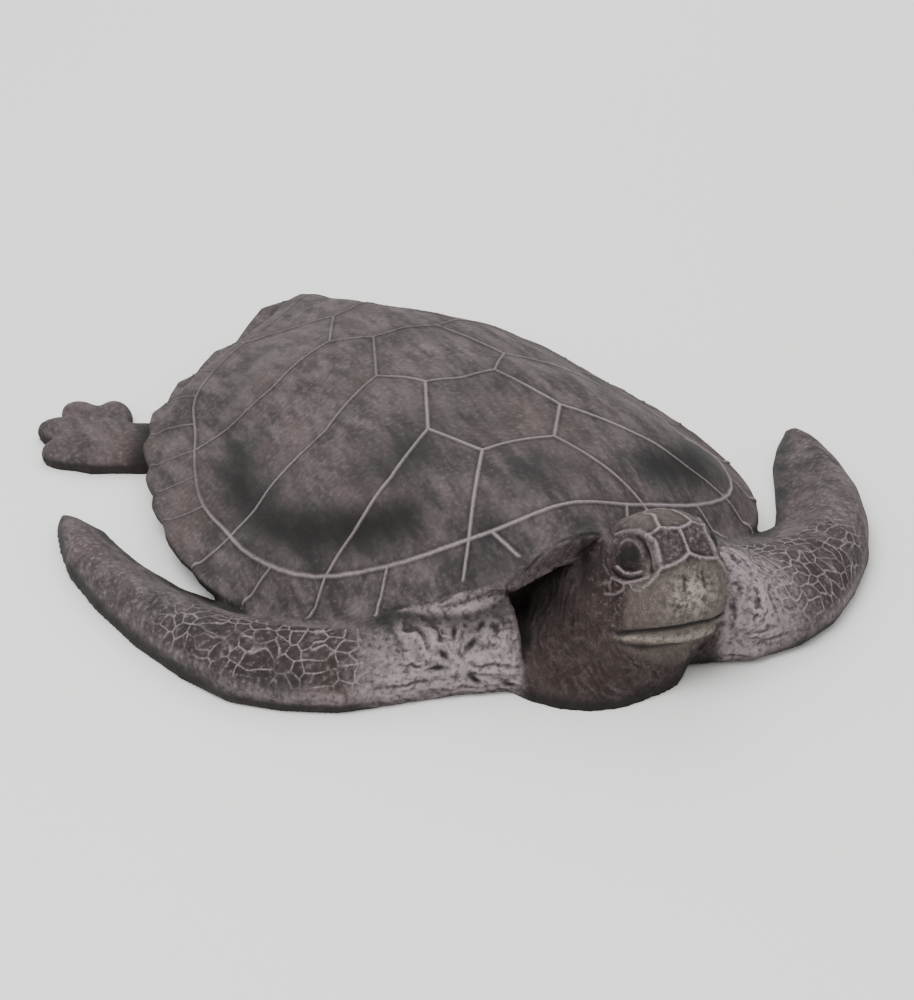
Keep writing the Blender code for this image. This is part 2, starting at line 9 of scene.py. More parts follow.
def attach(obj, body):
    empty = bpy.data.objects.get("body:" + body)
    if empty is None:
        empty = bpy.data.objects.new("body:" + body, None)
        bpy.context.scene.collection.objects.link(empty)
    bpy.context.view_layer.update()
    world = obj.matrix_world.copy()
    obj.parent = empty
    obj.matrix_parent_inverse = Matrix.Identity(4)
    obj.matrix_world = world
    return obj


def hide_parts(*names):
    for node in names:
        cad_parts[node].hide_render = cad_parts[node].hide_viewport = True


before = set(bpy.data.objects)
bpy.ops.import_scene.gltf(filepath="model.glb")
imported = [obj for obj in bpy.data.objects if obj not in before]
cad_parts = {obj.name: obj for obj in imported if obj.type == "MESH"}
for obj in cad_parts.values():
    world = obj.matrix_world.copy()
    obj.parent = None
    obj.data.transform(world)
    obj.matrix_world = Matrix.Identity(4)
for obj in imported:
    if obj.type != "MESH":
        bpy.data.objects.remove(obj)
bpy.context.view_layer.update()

bl_info = {
    "name": "Sea turtle statue",
    "version": (1, 0, 0),
    "blender": (4, 5, 0),
    "location": "View3D > Sidebar > Sea turtle",
    "description": "Cast stone garden statue of a sea turtle, with its studio stage",
    "category": "Object",
}

# The pose is laid out in steps of the shell's length, from a point on the floor near the dome's middle.
STEP = 0.520 / 763
PLACE = np.array((-0.008924, 0.009374, 0.0))
MM = 0.001

# further away than any point is
FAR = 1e9
# a point counts as part of a region above this weight
COUNTS = 0.001
PULL = 0.6
# rounds that round off the solid's facets
FACET_ROUNDS = 24
# layered noise seldom comes near its ends, so it is widened by this
NOISE_REACH = 1.6

# camera: degrees round from the turtle's front and above the floor, distance in steps, sensor and lens in
# millimetres, and how far the picture is shifted sideways to sit as the photo does
CAMERA_ROUND = -22.4
CAMERA_ABOVE = 27.5
CAMERA_AWAY = 3000
CAMERA_SENSOR = 36.0
CAMERA_LENS = 108.0
CAMERA_SHIFT = 0.028

# half the side of the floor, in metres
FLOOR_REACH = 6.0
# soft area lights: name, place, size, share of the key light's power
LIGHTS = (("key", (-0.9, -0.7, 1.9), 1.3, 1.0), ("back", (0.7, 1.5, 1.5), 1.6, 0.5))

DOME_CENTRE = np.array((0.0, -20.0))
DOME_TOP = 168.0

# rim of the shell by degrees from the head: reach from the dome's centre, height
RIM = [
    (0, 333, 137), (15, 330, 99), (30, 323, 72), (45, 325, 48), (60, 310, 39), (75, 291, 36),
    (90, 279, 35), (105, 278, 34), (120, 289, 33), (135, 314, 36), (150, 337, 38), (165, 370, 41),
    (174, 396, 49), (180, 416, 60)]

# fall of the dome from its top to its rim, by share of the reach: front, side, rear
DOME_FALL = [
    (0.0, 1.0, 1.0, 1.0), (0.2, 1.04, 0.97, 0.95), (0.4, 1.0, 0.855, 0.84), (0.55, 0.93, 0.65, 0.67),
    (0.7, 0.81, 0.415, 0.46), (0.8, 0.66, 0.26, 0.32), (0.87, 0.48, 0.16, 0.24), (0.93, 0.25, 0.06, 0.14),
    (1.0, 0.0, 0.0, 0.0)]

# ring between the large scutes and the marginal ones, share of the reach by degrees
RING = [(0, 0.895), (15, 0.893), (30, 0.922), (45, 0.922), (60, 0.902), (75, 0.872), (90, 0.874),
        (105, 0.858), (120, 0.838), (135, 0.846), (150, 0.856), (165, 0.862), (180, 0.868)]

# seams of the marginal scutes: degrees at the ring, degrees at the rim
MARGINAL_SEAMS = [
    (17, 19), (31, 32), (42, 43), (54, 57), (70, 74), (88, 94), (102, 107), (113, 119), (125, 131),
    (137, 143), (149, 155), (162, 167), (180, 180)]
NUCHAL_SEAM = (13, 8)

# corners of the large scutes on the turtle's left half, from the head to the tail, and the seams
# that run outward from four of them to the ring
SPINE = [(36, -215), (67, -160), (36, -78), (67, -30), (34, 62), (70, 90), (33, 176), (52, 214)]
COSTAL_SEAMS = [
    ([(67, -160), (123, -207), (171, -233)], 42),
    ([(67, -30), (139, -80), (204, -92)], 70),
    ([(70, 90), (142, 66)], 113),
    ([(52, 214), (74, 262)], 162)]
SPINE_SEAM = 17

# middle lines of the fore flippers on the plan, from the shoulder to the tip
RIGHT_FORE = [(-63, -316), (-92, -307), (-122, -297), (-175, -285), (-219, -275), (-255, -255),
              (-284, -226), (-306, -185), (-326, -129), (-342, -64), (-348, -7), (-348, 39), (-350, 70)]
LEFT_FORE = [(71, -323), (107, -327), (145, -326), (195, -312), (236, -295), (275, -277), (305, -249),
             (330, -207), (352, -156), (371, -102), (387, -55), (395, -27)]

# net of scales: where it starts and ends along each flipper and how brown the scales are, and where the
# finer mesh ends
SCALES_SPAN = (("right", 118, 325, 1.0), ("left", 72, 268, 0.75))
FINE_SPAN = (("right", 340), ("left", 310))

# head: centre in steps, degrees turned to its left, and degrees rolled, with its left side down; place and
# facing of the left eye, mirrored to the right
HEAD_CENTRE = Vector((64, -390, 100))
HEAD_TURN = 8.0
HEAD_LEAN = -6.0
EYE_PLACE = Vector((7, 44, 26))
EYE_FACING = Vector((0.28, 0.82, 0.50))

# raised seams of the head's scutes on the turtle's left, forward, sideways, up from the head's centre;
# the same lines are mirrored to its right
HEAD_SEAMS = [
    [(13, 0, 52), (22, 0, 45), (31, 0, 36)],
    [(13, 0, 52), (11, 11, 53), (7, 17, 53), (9, 25, 51), (8, 31, 47)],
    [(7, 17, 53), (-2, 15, 55), (-10, 12, 56), (-24, 14, 54), (-32, 0, 52)],
    [(31, 0, 36), (34, 8, 33), (35, 17, 30), (33, 29, 27)]]
NOSTRIL = [(41, 10, 20), (46, 11, 9)]

# ridges and grooves round the eye, forward and up in the eye's own plane: points, half width in steps,
# height in millimetres, share of pale dry brush
EYE_LINES = [
    ([(-28, 10), (-19, 18), (-8, 25), (2, 26), (10, 25), (17, 20), (24, 13), (28, 9)], 2.0, 1.0, 0.22),
    ([(2, 26), (10, 25), (17, 20), (24, 13)], 1.2, 0.2, 0.7),
    ([(28, 9), (29, 1), (28, -8), (25, -14)], 1.1, 0.6, 0.6),
    ([(-15, 7), (-12, 13), (-4, 15), (5, 12), (12, 5), (19, 0), (23, -4)], 1.2, 0.6, 0.15),
    ([(-5, 20), (3, 19), (11, 13), (20, 6), (25, 2)], 1.8, -1.0, 0.0),
    ([(-10, -12), (-1, -13), (6, -10), (12, -4)], 1.0, 0.45, 1.0),
    ([(-9, -16), (-1, -17), (7, -15), (15, -7)], 1.4, -0.8, 0.0),
    ([(-8, -23), (8, -20), (17, -13), (25, -4)], 1.2, 0.6, 0.45),
    ([(-8, -23), (-9, -31)], 0.9, 0.35, 0.45),
    ([(-8, -23), (-18, -21), (-26, -18)], 0.9, 0.3, 0.25),
    ([(8, -20), (7, -27), (0, -34), (-11, -39)], 0.9, 0.35, 0.45),
    ([(-9, -27), (-15, -31)], 0.9, 0.3, 0.35),
    ([(13, -18), (17, -21), (24, -18)], 0.9, 0.3, 0.4)]

# folds left as short pits in the webbing of the turtle's right shoulder, their half length and half width
# in steps and depth in millimetres, and where the creases meet
PIT_SIZE = (8.0, 3.3)
PIT_DEPTH = 1.4
PITS = [(-133, -356, 45), (-140, -359, 34), (-96, -354, 65), (-119, -347, 59), (-108, -368, 19),
        (-80, -376, 13), (-107, -360, 52)]
CREASES_MEET = (-125.0, -362.0, 33.0)

# deep gap between neck and shell on the turtle's right, painted near-black as shade
GAP = [(-2, -334, 103), (-13, -324, 90), (-23, -318, 77), (-32, -312, 62), (-37, -318, 50), (-48, -341, 46),
       (-54, -359, 42)]

# lower edge of the lip over the neck on the turtle's right, how far in steps it hangs below the solid's
# and how softly that fades, and the crease along the lip's upper side
LIP_EDGE = [(-58, -342, 97), (-36, -344, 107), (-17, -345, 113), (-8, -346, 115)]
LIP_DROOP = 11
LIP_SOFTNESS = 14
LIP_CREASE = [(-56, -343, 102), (-48, -351, 112), (-39, -351, 122), (-31, -351, 128), (-22, -351, 132),
              (-11, -353, 135), (3, -353, 136), (18, -352, 133)]

# middle of the hollow inside the brim, share of the reach by degrees from the head; its depth, and the
# rise of the brim outside it
VALLEY_DEPTH = 2.4 * MM
BRIM_RISE = 0.8 * MM
VALLEY = [(0, 0.80), (24, 0.81), (40, 0.83), (60, 0.81), (82, 0.76), (110, 0.73), (180, 0.72)]

# patches where the shell is painted darker: more of the dark wash left there, and at the hollow inside the
# brim, (-208, -92), painted shade as well: plan point, radius, strength
WASH_AND_SHADE = [(-2, -268, 50, 0.7), (-43, -155, 55, 0.55), (-107, -190, 52, 0.95), (123, -218, 42, 0.4),
        (-75, -318, 46, 0.75), (9, -111, 36, 0.5), (-208, -92, 34, 0.9), (8, -343, 12, 0.9)]

# and on the limbs of both sides, wash and painted shade: the patch on the flipper's top under the rim and
# the one along the scales' lower row are painted shade; point on the turtle's right, radius, strength
LIMB_WASH_AND_SHADE = [(-172, -318, 52, 30, 0.85), (-330, -180, 30, 30, 0.3), (-270, -322, 28, 26, 0.5),
             (-352, -120, 24, 26, 0.45)]

# heights that the dry brush and the wash answer to: rounds of evening out, and the height that counts fully
FINE_ROUNDS, FINE_HEIGHT = 7, 0.16 * MM
BROAD_ROUNDS, BROAD_HEIGHT = 36, 0.42 * MM
# root of the rear flippers, painted dark brown as the shade under the rim: point on the turtle's right,
# radius
REAR_ROOT_SHADE, REAR_ROOT_SHADE_RADIUS = (-250, 168, 16), 19


def curve(table, at):
    """Smooth curve through rows of place and value, level at its two ends."""
    places, values = np.array(table, dtype=float).T
    slopes = np.zeros(len(places))
    slopes[1:-1] = (values[2:] - values[:-2]) / (places[2:] - places[:-2])
    row = np.clip(np.searchsorted(places, at) - 1, 0, len(places) - 2)
    span = places[row + 1] - places[row]
    s = np.clip((at - places[row]) / span, 0.0, 1.0)
    bend = s * (1 - s) ** 2 * slopes[row] * span - s * s * (1 - s) * slopes[row + 1] * span
    return values[row] + (values[row + 1] - values[row]) * s * s * (3 - 2 * s) + bend


def ease(value):
    """Smooth step from 0 to 1."""
    value = np.clip(value, 0.0, 1.0)
    return value * value * (3 - 2 * value)


def polar(plan):
    """Share of the shell's reach and degrees from the head, for plan points in steps."""
    away = plan - DOME_CENTRE
    degrees = np.degrees(np.arctan2(away[:, 0], -away[:, 1]))
    reach = curve([(row[0], row[1]) for row in RIM], np.abs(degrees))
    return np.hypot(away[:, 0], away[:, 1]) / reach, degrees


def dome_height(share, degrees):
    """Height of the smooth shell above the floor, in steps."""
    share = np.minimum(share, 1.0)
    along = np.cos(np.radians(degrees))
    front = ease((along - 0.1) / 0.9)
    rear = ease(-along)
    falls = [curve([(row[0], row[column]) for row in DOME_FALL], share) for column in (1, 2, 3)]
    fall = front * falls[0] + (1 - front - rear) * falls[1] + rear * falls[2]
    low = curve([(row[0], row[2]) for row in RIM], np.abs(degrees))
    return low + (DOME_TOP - low) * fall


def shell_point(degrees, share=1.0):
    """Plan point in steps on the rim, or on the ring when the share is left to the ring's table."""
    angle = math.radians(degrees)
    reach = float(curve([(row[0], row[1]) for row in RIM], np.array([abs(degrees)]))[0])
    if share is None:
        share = float(curve(RING, np.array([abs(degrees)]))[0])
    return DOME_CENTRE + np.array((math.sin(angle), -math.cos(angle))) * reach * share


def shell_seams():
    """Lines of the raised ribs between the scutes, as plan points in steps, on both halves."""
    seams = []
    ring = [shell_point(degrees, None) for degrees in range(0, 181, 4)]
    spine = [shell_point(SPINE_SEAM, None)] + [np.array(point, dtype=float) for point in SPINE]
    half = [ring, spine]
    for inside, outside in MARGINAL_SEAMS + [NUCHAL_SEAM]:
        half.append([shell_point(inside, None), shell_point(outside, 1.02)])
    for points, end in COSTAL_SEAMS:
        half.append([np.array(point, dtype=float) for point in points] + [shell_point(end, None)])
    for line in half:
        seams.append(np.array(line))
        seams.append(np.array(line) * (-1, 1))
    for x, y in SPINE[::2]:
        seams.append(np.array([(-x, y), (x, y)], dtype=float))
    return seams


def away_from(lines, points, reach):
    """Distance of each point to the nearest line within reach."""
    best = np.full(len(points), FAR)
    for line in lines:
        line = np.asarray(line, dtype=float)
        steps = np.diff(line, axis=0)
        lengths = np.linalg.norm(steps, axis=1)
        inside = ((points > line.min(axis=0) - reach) & (points < line.max(axis=0) + reach)).all(axis=1)
        near = np.nonzero(inside)[0]
        for start, step, length in zip(line, steps, lengths):
            low, high = np.minimum(start, start + step) - reach, np.maximum(start, start + step) + reach
            close = points[near]
            chosen = near[((close > low) & (close < high)).all(axis=1)]
            away = points[chosen] - start
            share = np.clip(away @ step / max(length * length, 1e-9), 0.0, 1.0)
            distance = np.linalg.norm(away - share[:, None] * step, axis=1)
            best[chosen] = np.minimum(best[chosen], distance)
    return best


def beside(line, points):
    """How far along a plan line each point lies, in steps, and how far to the line's left."""
    best = np.full(len(points), FAR)
    along = np.zeros(len(points))
    left = np.zeros(len(points))
    passed = 0.0
    line = np.asarray(line, dtype=float)
    for start, step in zip(line[:-1], np.diff(line, axis=0)):
        length = np.hypot(*step)
        away = points - start
        share = np.clip(away @ step / length ** 2, 0.0, 1.0)
        distance = np.linalg.norm(away - share[:, None] * step, axis=1)
        nearer = distance < best
        best = np.where(nearer, distance, best)
        along = np.where(nearer, passed + share * length, along)
        side = np.sign(step[0] * away[:, 1] - step[1] * away[:, 0])
        left = np.where(nearer, distance * side, left)
        passed += length
    return along, left


def only(weight, work):
    """Values of work(which) where the weight counts, and 0 elsewhere."""
    which = np.nonzero(weight > COUNTS)[0]
    values = np.zeros(len(weight))
    if len(which):
        values[which] = work(which)
    return values


def strongest(*weights):
    """The greatest of several weights at every point, kept from 0 to 1."""
    return np.clip(np.maximum.reduce(weights), 0, 1)


def round_line(lines, points, reach, half):
    """Soft band from 1 on the lines to 0, by its half width."""
    return np.exp(-(away_from(lines, points, reach) / half) ** 2)


def mirrored(points, axis, toward=1):
    """Points with one coordinate turned to the same side of the middle for both halves."""
    turned = points.copy()
    turned[:, axis] *= toward * np.sign(points[:, axis])
    return turned


def lattice(place, seed, columns=1):
    """Repeatable random numbers on the whole-numbered grid round the places, and its first corner."""
    low = np.floor(place.min(axis=0)).astype(np.int64) - 1
    high = np.ceil(place.max(axis=0)).astype(np.int64) + 2
    return np.random.default_rng(seed).random(tuple(high - low) + (columns,)), low


def clouds(points, size, seed, layers=3):
    """Soft noise from about -1 to 1 whose largest blobs are a given size across; each seed has its own."""
    total = np.zeros(len(points))
    weight = 1.0
    full = 0.0
    for layer in range(layers):
        place = points / size * 2 ** layer
        values, low = lattice(place, seed + layer)
        values = values[..., 0]
        cell = np.floor(place).astype(np.int64)
        inside = place - cell
        fade = inside * inside * (3 - 2 * inside)
        cell -= low
        value = np.zeros(len(points))
        for x in (0, 1):
            across = fade[:, 0] if x else 1 - fade[:, 0]
            for y in (0, 1):
                along = across * (fade[:, 1] if y else 1 - fade[:, 1])
                for z in (0, 1):
                    share = along * (fade[:, 2] if z else 1 - fade[:, 2])
                    value += share * values[cell[:, 0] + x, cell[:, 1] + y, cell[:, 2] + z]
        total += weight * (2 * value - 1)
        full += weight
        weight *= 0.5
    return total / full * NOISE_REACH


def cells(points, seed, jitter):
    """Distance to the nearest and second nearest of scattered points one apart on a plane, and a number
    for the cell."""
    marks, low = lattice(points, seed, 3)
    base = np.floor(points).astype(np.int64)
    first = np.full(len(points), 9.0)
    second = np.full(len(points), 9.0)
    label = np.zeros(len(points))
    for x in (-1, 0, 1):
        for y in (-1, 0, 1):
            cell = base + (x, y)
            mark = marks[cell[:, 0] - low[0], cell[:, 1] - low[1]]
            distance = np.linalg.norm(points - cell - 0.5 - (mark[:, :2] - 0.5) * jitter, axis=1)
            nearer = distance < first
            second = np.where(nearer, first, np.minimum(second, distance))
            label = np.where(nearer, mark[:, 2], label)
            first = np.where(nearer, distance, first)
    return first, second, label


class Skin:
    """The casting's surface as points and triangles, in metres, with what the relief needs to know."""

    def __init__(self, mesh):
        mesh.calc_loop_triangles()
        self.points = np.empty(len(mesh.vertices) * 3)
        mesh.vertices.foreach_get("co", self.points)
        self.points = self.points.reshape(-1, 3)
        self.faces = np.empty(len(mesh.loop_triangles) * 3, dtype=np.int64)
        mesh.loop_triangles.foreach_get("vertices", self.faces)
        self.faces = self.faces.reshape(-1, 3)

    def edges(self):
        """Each edge once, and for every side of every face the number of its edge."""
        sides = np.sort(self.faces[:, [[0, 1], [1, 2], [2, 0]]], axis=2)
        keys = sides[:, :, 0] * len(self.points) + sides[:, :, 1]
        single, where = np.unique(keys.ravel(), return_inverse=True)
        ends = np.stack((single // len(self.points), single % len(self.points)), axis=1)
        return ends, where.reshape(-1, 3)

    def keep_largest(self):
        """Drop the crumbs that remeshing leaves apart from the casting."""
        ends = self.edges()[0]
        label = np.arange(len(self.points))
        while True:
            lower = label[ends].min(axis=1)
            joined = label.copy()
            for side in (0, 1):
                np.minimum.at(joined, label[ends[:, side]], lower)
            while (joined[joined] != joined).any():
                joined = joined[joined]
            if (joined == label).all():
                break
            label = joined
        kept = label == np.bincount(label).argmax()
        self.faces = (np.cumsum(kept) - 1)[self.faces[kept[self.faces[:, 0]]]]
        self.points = self.points[kept]

    def split(self, wanted):
        """Halve the edges whose two ends are wanted, and part the faces along them."""
        ends, where = self.edges()
        cut = wanted[ends].all(axis=1)
        number = np.full(len(ends), -1)
        number[cut] = len(self.points) + np.arange(cut.sum())
        self.points = np.concatenate((self.points, self.points[ends[cut]].mean(axis=1)))
        middle = number[where]
        count = (middle >= 0).sum(axis=1)
        parts = [self.faces[count == 0]]
        for turn in range(3):
            a, b, c = (self.faces[:, (turn + k) % 3] for k in range(3))
            ab, bc, ca = (middle[:, (turn + k) % 3] for k in range(3))
            one = (count == 1) & (ab >= 0)
            two = (count == 2) & (ca < 0)
            for which, corners in ((one, (a, ab, c)), (one, (ab, b, c)), (two, (a, ab, c)),
                                   (two, (ab, b, bc)), (two, (ab, bc, c))):
                parts.append(np.stack(corners, axis=1)[which])
        a, b, c = self.faces.T
        ab, bc, ca = middle.T
        for corners in ((a, ab, ca), (ab, b, bc), (ca, bc, c), (ab, bc, ca)):
            parts.append(np.stack(corners, axis=1)[count == 3])
        self.faces = np.concatenate(parts)

    def spread(self, values, rounds, share=1.0):
        """Even out values over the surface, by each point's share."""
        ends = self.edges()[0]
        i, j = ends.T
        total = len(self.points)
        count = np.bincount(ends.ravel(), minlength=total)
        columns = values.reshape(total, -1).copy()
        for turn in range(rounds):
            for column in range(columns.shape[1]):
                value = columns[:, column]
                around = (np.bincount(i, value[j], total) + np.bincount(j, value[i], total)) / count
                columns[:, column] = value + PULL * share * (around - value)
        return columns.reshape(values.shape)

    def normals(self):
        """Unit normal at every point."""
        a, b, c = (self.points[self.faces[:, k]] for k in range(3))
        flat = np.cross(b - a, c - a)
        total = np.zeros_like(self.points)
        for k in range(3):
            for axis in range(3):
                total[:, axis] += np.bincount(self.faces[:, k], flat[:, axis], len(self.points))
        return total / np.maximum(np.linalg.norm(total, axis=1), 1e-12)[:, None]

    def steps(self):
        """The points in the pose's own steps."""
        return (self.points - PLACE) / STEP

    def to_mesh(self, name):
        """Blender mesh of the surface."""
        mesh = bpy.data.meshes.new(name)
        mesh.vertices.add(len(self.points))
        mesh.vertices.foreach_set("co", self.points.ravel())
        mesh.loops.add(len(self.faces) * 3)
        mesh.loops.foreach_set("vertex_index", self.faces.ravel())
        mesh.polygons.add(len(self.faces))
        mesh.polygons.foreach_set("loop_start", np.arange(len(self.faces)) * 3)
        mesh.update(calc_edges=True)
        return mesh


def head_frame():
    """Frame of the head: x forward out of the mouth, y to the turtle's left, z up."""
    turn = Matrix.Rotation(math.radians(HEAD_TURN - 90), 4, "Z")
    lean = Matrix.Rotation(math.radians(HEAD_LEAN), 4, "X")
    return Matrix.Translation(HEAD_CENTRE) @ turn @ lean


def eye_frame(side):
    """Frame of one eye on the head's surface: x forward, y up along the cheek, z out of the eye."""
    outward = Vector((EYE_FACING.x, EYE_FACING.y * side, EYE_FACING.z)).normalized()
    forward = (Vector((1, 0, 0)) - outward * outward.x).normalized()
    upward = outward.cross(forward) if side < 0 else forward.cross(outward)
    axes = Matrix((forward, upward * (1 if upward.z > 0 else -1), outward)).transposed().to_4x4()
    return head_frame() @ Matrix.Translation((EYE_PLACE.x, EYE_PLACE.y * side, EYE_PLACE.z)) @ axes


def seen_from(matrix, points):
    """Points in steps given in the axes of a frame."""
    inverse = np.array(matrix.inverted())
    return points @ inverse[:3, :3].T + inverse[:3, 3]


def zones(skin):
    """How far each point belongs to the shell's upper side, the head, each fore flipper and the floor."""
    steps = skin.steps()
    normals = skin.normals()
    share, degrees = polar(steps[:, :2])
    gap = (steps[:, 2] - dome_height(share, degrees)) * STEP
    low = curve([(row[0], row[2]) for row in RIM], np.abs(degrees))
    zone = {"steps": steps, "normals": normals, "share": share, "degrees": degrees, "gap": gap}
    limit = (5 + 4 * ease((0.97 - share) / 0.04)) * MM
    upper = ease((limit - np.abs(gap)) / (2 * MM)) * ease((normals[:, 2] - 0.15) / 0.25)
    zone["top"] = upper * (share < 1.08)
    zone["dome"] = upper * ease((0.995 - share) / 0.02)
    drop = low - steps[:, 2]
    front = ease((32 - np.abs(degrees)) / 16)
    # painted shade under the shell's rim, on the body below it and on the flippers' tops just outside it; at
    # the front it starts lower
    zone["under"] = (1 - zone["top"]) * ease((share - 0.93) / 0.03) * ease((1.10 - share) / 0.07) * ease(
        (drop - 2 - 18 * front) / 5)
    band = front * ease((share - 0.974) / 0.008) * ease((1.04 - share) / 0.02)
    zone["band"] = band * ease((22 - drop) / 6) * ease((drop + 10) / 5)
    head = seen_from(head_frame(), steps)
    zone["head_place"] = head
    around = np.sqrt(((head[:, 0] + 5) / 74) ** 2 + (head[:, 1] / 66) ** 2 + ((head[:, 2] + 4) / 74) ** 2)
    zone["head"] = ease((1.12 - around) / 0.14) * (zone["top"] < 0.5)
    below = np.maximum(ease((-5 * MM - gap) / (3 * MM) + 1), ease((share - 1.03) / 0.03))
    for name, line, outer in (("right", RIGHT_FORE, 1), ("left", LEFT_FORE, -1)):
        along, left = beside(line, steps[:, :2])
        zone[name] = ease((100 - np.abs(left)) / 20) * (share > 0.8) * below * (1 - zone["top"])
        zone[name + "_along"] = along
        zone[name + "_outward"] = left * outer
    free = (1 - zone["head"]) * (1 - zone["top"])
    neck = ease((steps[:, 1] + 285) / -15) * ease((steps[:, 0] + 74) / 10) * ease((124 - steps[:, 0]) / 16)
    zone["neck"] = neck * free
    zone["under"] *= 1 - 0.85 * zone["neck"]
    for name in ("right", "left"):
        zone[name] *= (1 - zone["neck"]) * (1 - zone["head"])
    sided = mirrored(steps, 0, -1)
    zone["sided"] = sided
    away = np.linalg.norm((sided - CREASES_MEET) * (0.8, 1.0, 1.1), axis=1)
    shoulder = ease((88 - away) / 40) * (1 - zone["head"]) * (1 - zone["neck"]) * (1 - zone["top"])
    zone["shoulder"] = shoulder * ease((steps[:, 1] + 300) / -12)
    zone["sole"] = steps[:, 2] * STEP < 0.4 * MM
    return zone


def eased_skin(skin):
    """Round off the facets of the faceted solid: much on the limbs and neck, little at the rim and top."""
    zone = zones(skin)
    steps = zone["steps"]
    rim = ease((zone["share"] - 0.86) / 0.05) * ease((1.09 - zone["share"]) / 0.03)
    rim *= ease((zone["gap"] + 17 * MM) / (3 * MM))
    near = np.zeros(len(skin.points))
    for side in (1, -1):
        eye = seen_from(eye_frame(side), steps)
        near = np.maximum(near, ease((40 - np.linalg.norm(eye, axis=1)) / 8))
    head = zone["head_place"]
    mouth = ease((16 - np.abs(head[:, 2] + 34 + 0.12 * head[:, 0])) / 8) * zone["head"] * (head[:, 0] > -5)
    keep = skin.spread(strongest(rim, 0.25 * near, 0.85 * mouth, zone["top"]), 3)
    free = np.where(zone["sole"], 0.0, 1.0)
    skin.points = skin.spread(skin.points, 2, free)
    strong = (1 - keep) * np.where(zone["head"] > 0.5, 0.45, 1.0) * free
    skin.points = skin.spread(skin.points, FACET_ROUNDS, strong)
    skin.points[zone["sole"], 2] = 0.0


def drooped_lip(skin):
    """Let the lip over the neck hang as deep as the real one does."""
    skin.points[:, 2] -= LIP_DROOP * STEP * round_line([LIP_EDGE], skin.steps(), 40.0, LIP_SOFTNESS)


def ribs(distance, width, height):
    """Rounded ridge along a line, with a faint groove at either foot; distances in metres."""
    ridge = height * np.exp(-(distance / (width * 0.55)) ** 2)
    groove = -0.12 * height * np.exp(-((distance - width * 1.2) / (width * 0.5)) ** 2)
    return ridge + groove


def shell_relief(skin, zone, size):
    """Put the shell's upper side on its smooth dome and raise the ribs between the scutes."""
    steps = zone["steps"]
    share, degrees = zone["share"], zone["degrees"]
    dome = dome_height(share, degrees)
    skin.points[:, 2] += zone["dome"] * (dome * STEP - skin.points[:, 2])
    slope = np.clip(1 / np.maximum(zone["normals"][:, 2], 0.35), 1, 2)
    distance = away_from(shell_seams(), steps[:, :2], 24.0) * STEP * (0.5 + 0.5 * slope)
    side = np.abs(degrees)
    worn = 1 - 0.45 * ease((side - 78) / 16) * ease((share - 0.84) / 0.03)
    worn *= 1 - zone["band"]
    strong = ease((60 - steps[:, 1]) / 220)
    distance = distance / (0.82 + 0.3 * strong)
    relief = ribs(distance, size.rib_width, size.rib_height) * worn
    middle = curve(VALLEY, side)
    valley = ease((side - 14) / 18) * ease((172 - side) / 40)
    relief -= VALLEY_DEPTH * valley * np.exp(-((share - middle) / 0.07) ** 2)
    relief += BRIM_RISE * valley * np.exp(-((share - 0.94) / 0.045) ** 2)
    relief += only(zone["top"], lambda which: clouds(skin.points[which], 45 * MM, 3, 3) * 0.5 * MM)
    brushed = only(zone["top"], lambda which: ease((clouds(skin.points[which], 55 * MM, 14, 2) + 0.8) / 1.2))
    rib = np.exp(-(distance / (size.rib_width * 0.52)) ** 2) * zone["top"] * worn
    zone["rib"] = rib * (0.55 + 0.45 * brushed) * (0.5 + 0.5 * strong)
    zone["foot"] = np.exp(-distance / (8 * MM)) * zone["top"]
    near = ease((125 - side) / 45)
    # the hollow inside the brim painted dark: the wash left there, and painted shade in its middle, stronger
    # from the front round to the sides than at the rear
    zone["valley"] = valley * (0.35 + 0.65 * near) * np.exp(-((share - middle) / 0.088) ** 2) * zone["top"]
    patches = np.zeros(len(steps))
    for x, y, radius, strength in WASH_AND_SHADE:
        away = np.hypot(steps[:, 0] - x, steps[:, 1] - y)
        patches = np.maximum(patches, strength * np.exp(-(away / radius) ** 2))
    zone["patch"] = patches * zone["top"]
    return relief * zone["top"]


def flipper_relief(skin, zone, size):
    """Net of raised lines round the scales on the outer face of the fore flippers."""
    relief = np.zeros(len(skin.points))
    for name in ("net", "scale", "roll", "scaly"):
        zone[name] = np.zeros(len(skin.points))
    height = zone["steps"][:, 2]
    for name, start, end, brown in SCALES_SPAN:
        along, outward = zone[name + "_along"], zone[name + "_outward"]
        weight = zone[name] * ease((along - start) / 30) * ease((end - along) / 70)
        weight = weight * ease((outward + 12) / 16) * ease((height - 24) / 8)
        which = np.nonzero(weight > COUNTS)[0]
        if not len(which):
            continue
        row = outward[which] - 0.75 * (height[which] - 54)
        row = np.where(row < 20, row / 10.0, 2.0 + (row - 20) / 18.0)
        place = np.stack((along[which] / 13.0, row), axis=1)
        warp = [clouds(skin.points[which], 16 * MM, seed, 2) for seed in (5, 6)]
        first, second, label = cells(place + 0.34 * np.stack(warp, axis=1), 11, 0.8)
        worn = ease((clouds(skin.points[which], 14 * MM, 9, 2) + 0.75) / 0.8)
        line = np.exp(-((second - first) / 0.085) ** 2) * (0.25 + 0.75 * worn)
        some = weight[which]
        relief[which] += some * (line * size.scale_ridge - (1 - line) * 0.22 * MM * (0.3 + label))
        found = {"scaly": some * brown, "net": some * line * (0.55 + 0.45 * ease(label / 0.4)),
                 "scale": some * (1 - line) * (0.5 + 0.3 * label) * brown}
        for kind, values in found.items():
            zone[kind][which] = np.maximum(zone[kind][which], values)
        edge = zone[name] * ease((26 - height) / 8) * ease((height - 8) / 6) * ease((outward - 20) / 14)
        zone["roll"] = np.maximum(zone["roll"], 0.8 * edge * ease((250 - along) / 70))
    limbs = np.clip(zone["right"] + zone["left"], 0, 1)
    relief += only(limbs, lambda which: clouds(skin.points[which], 30 * MM, 8, 3) * 0.6 * MM) * limbs
    return relief


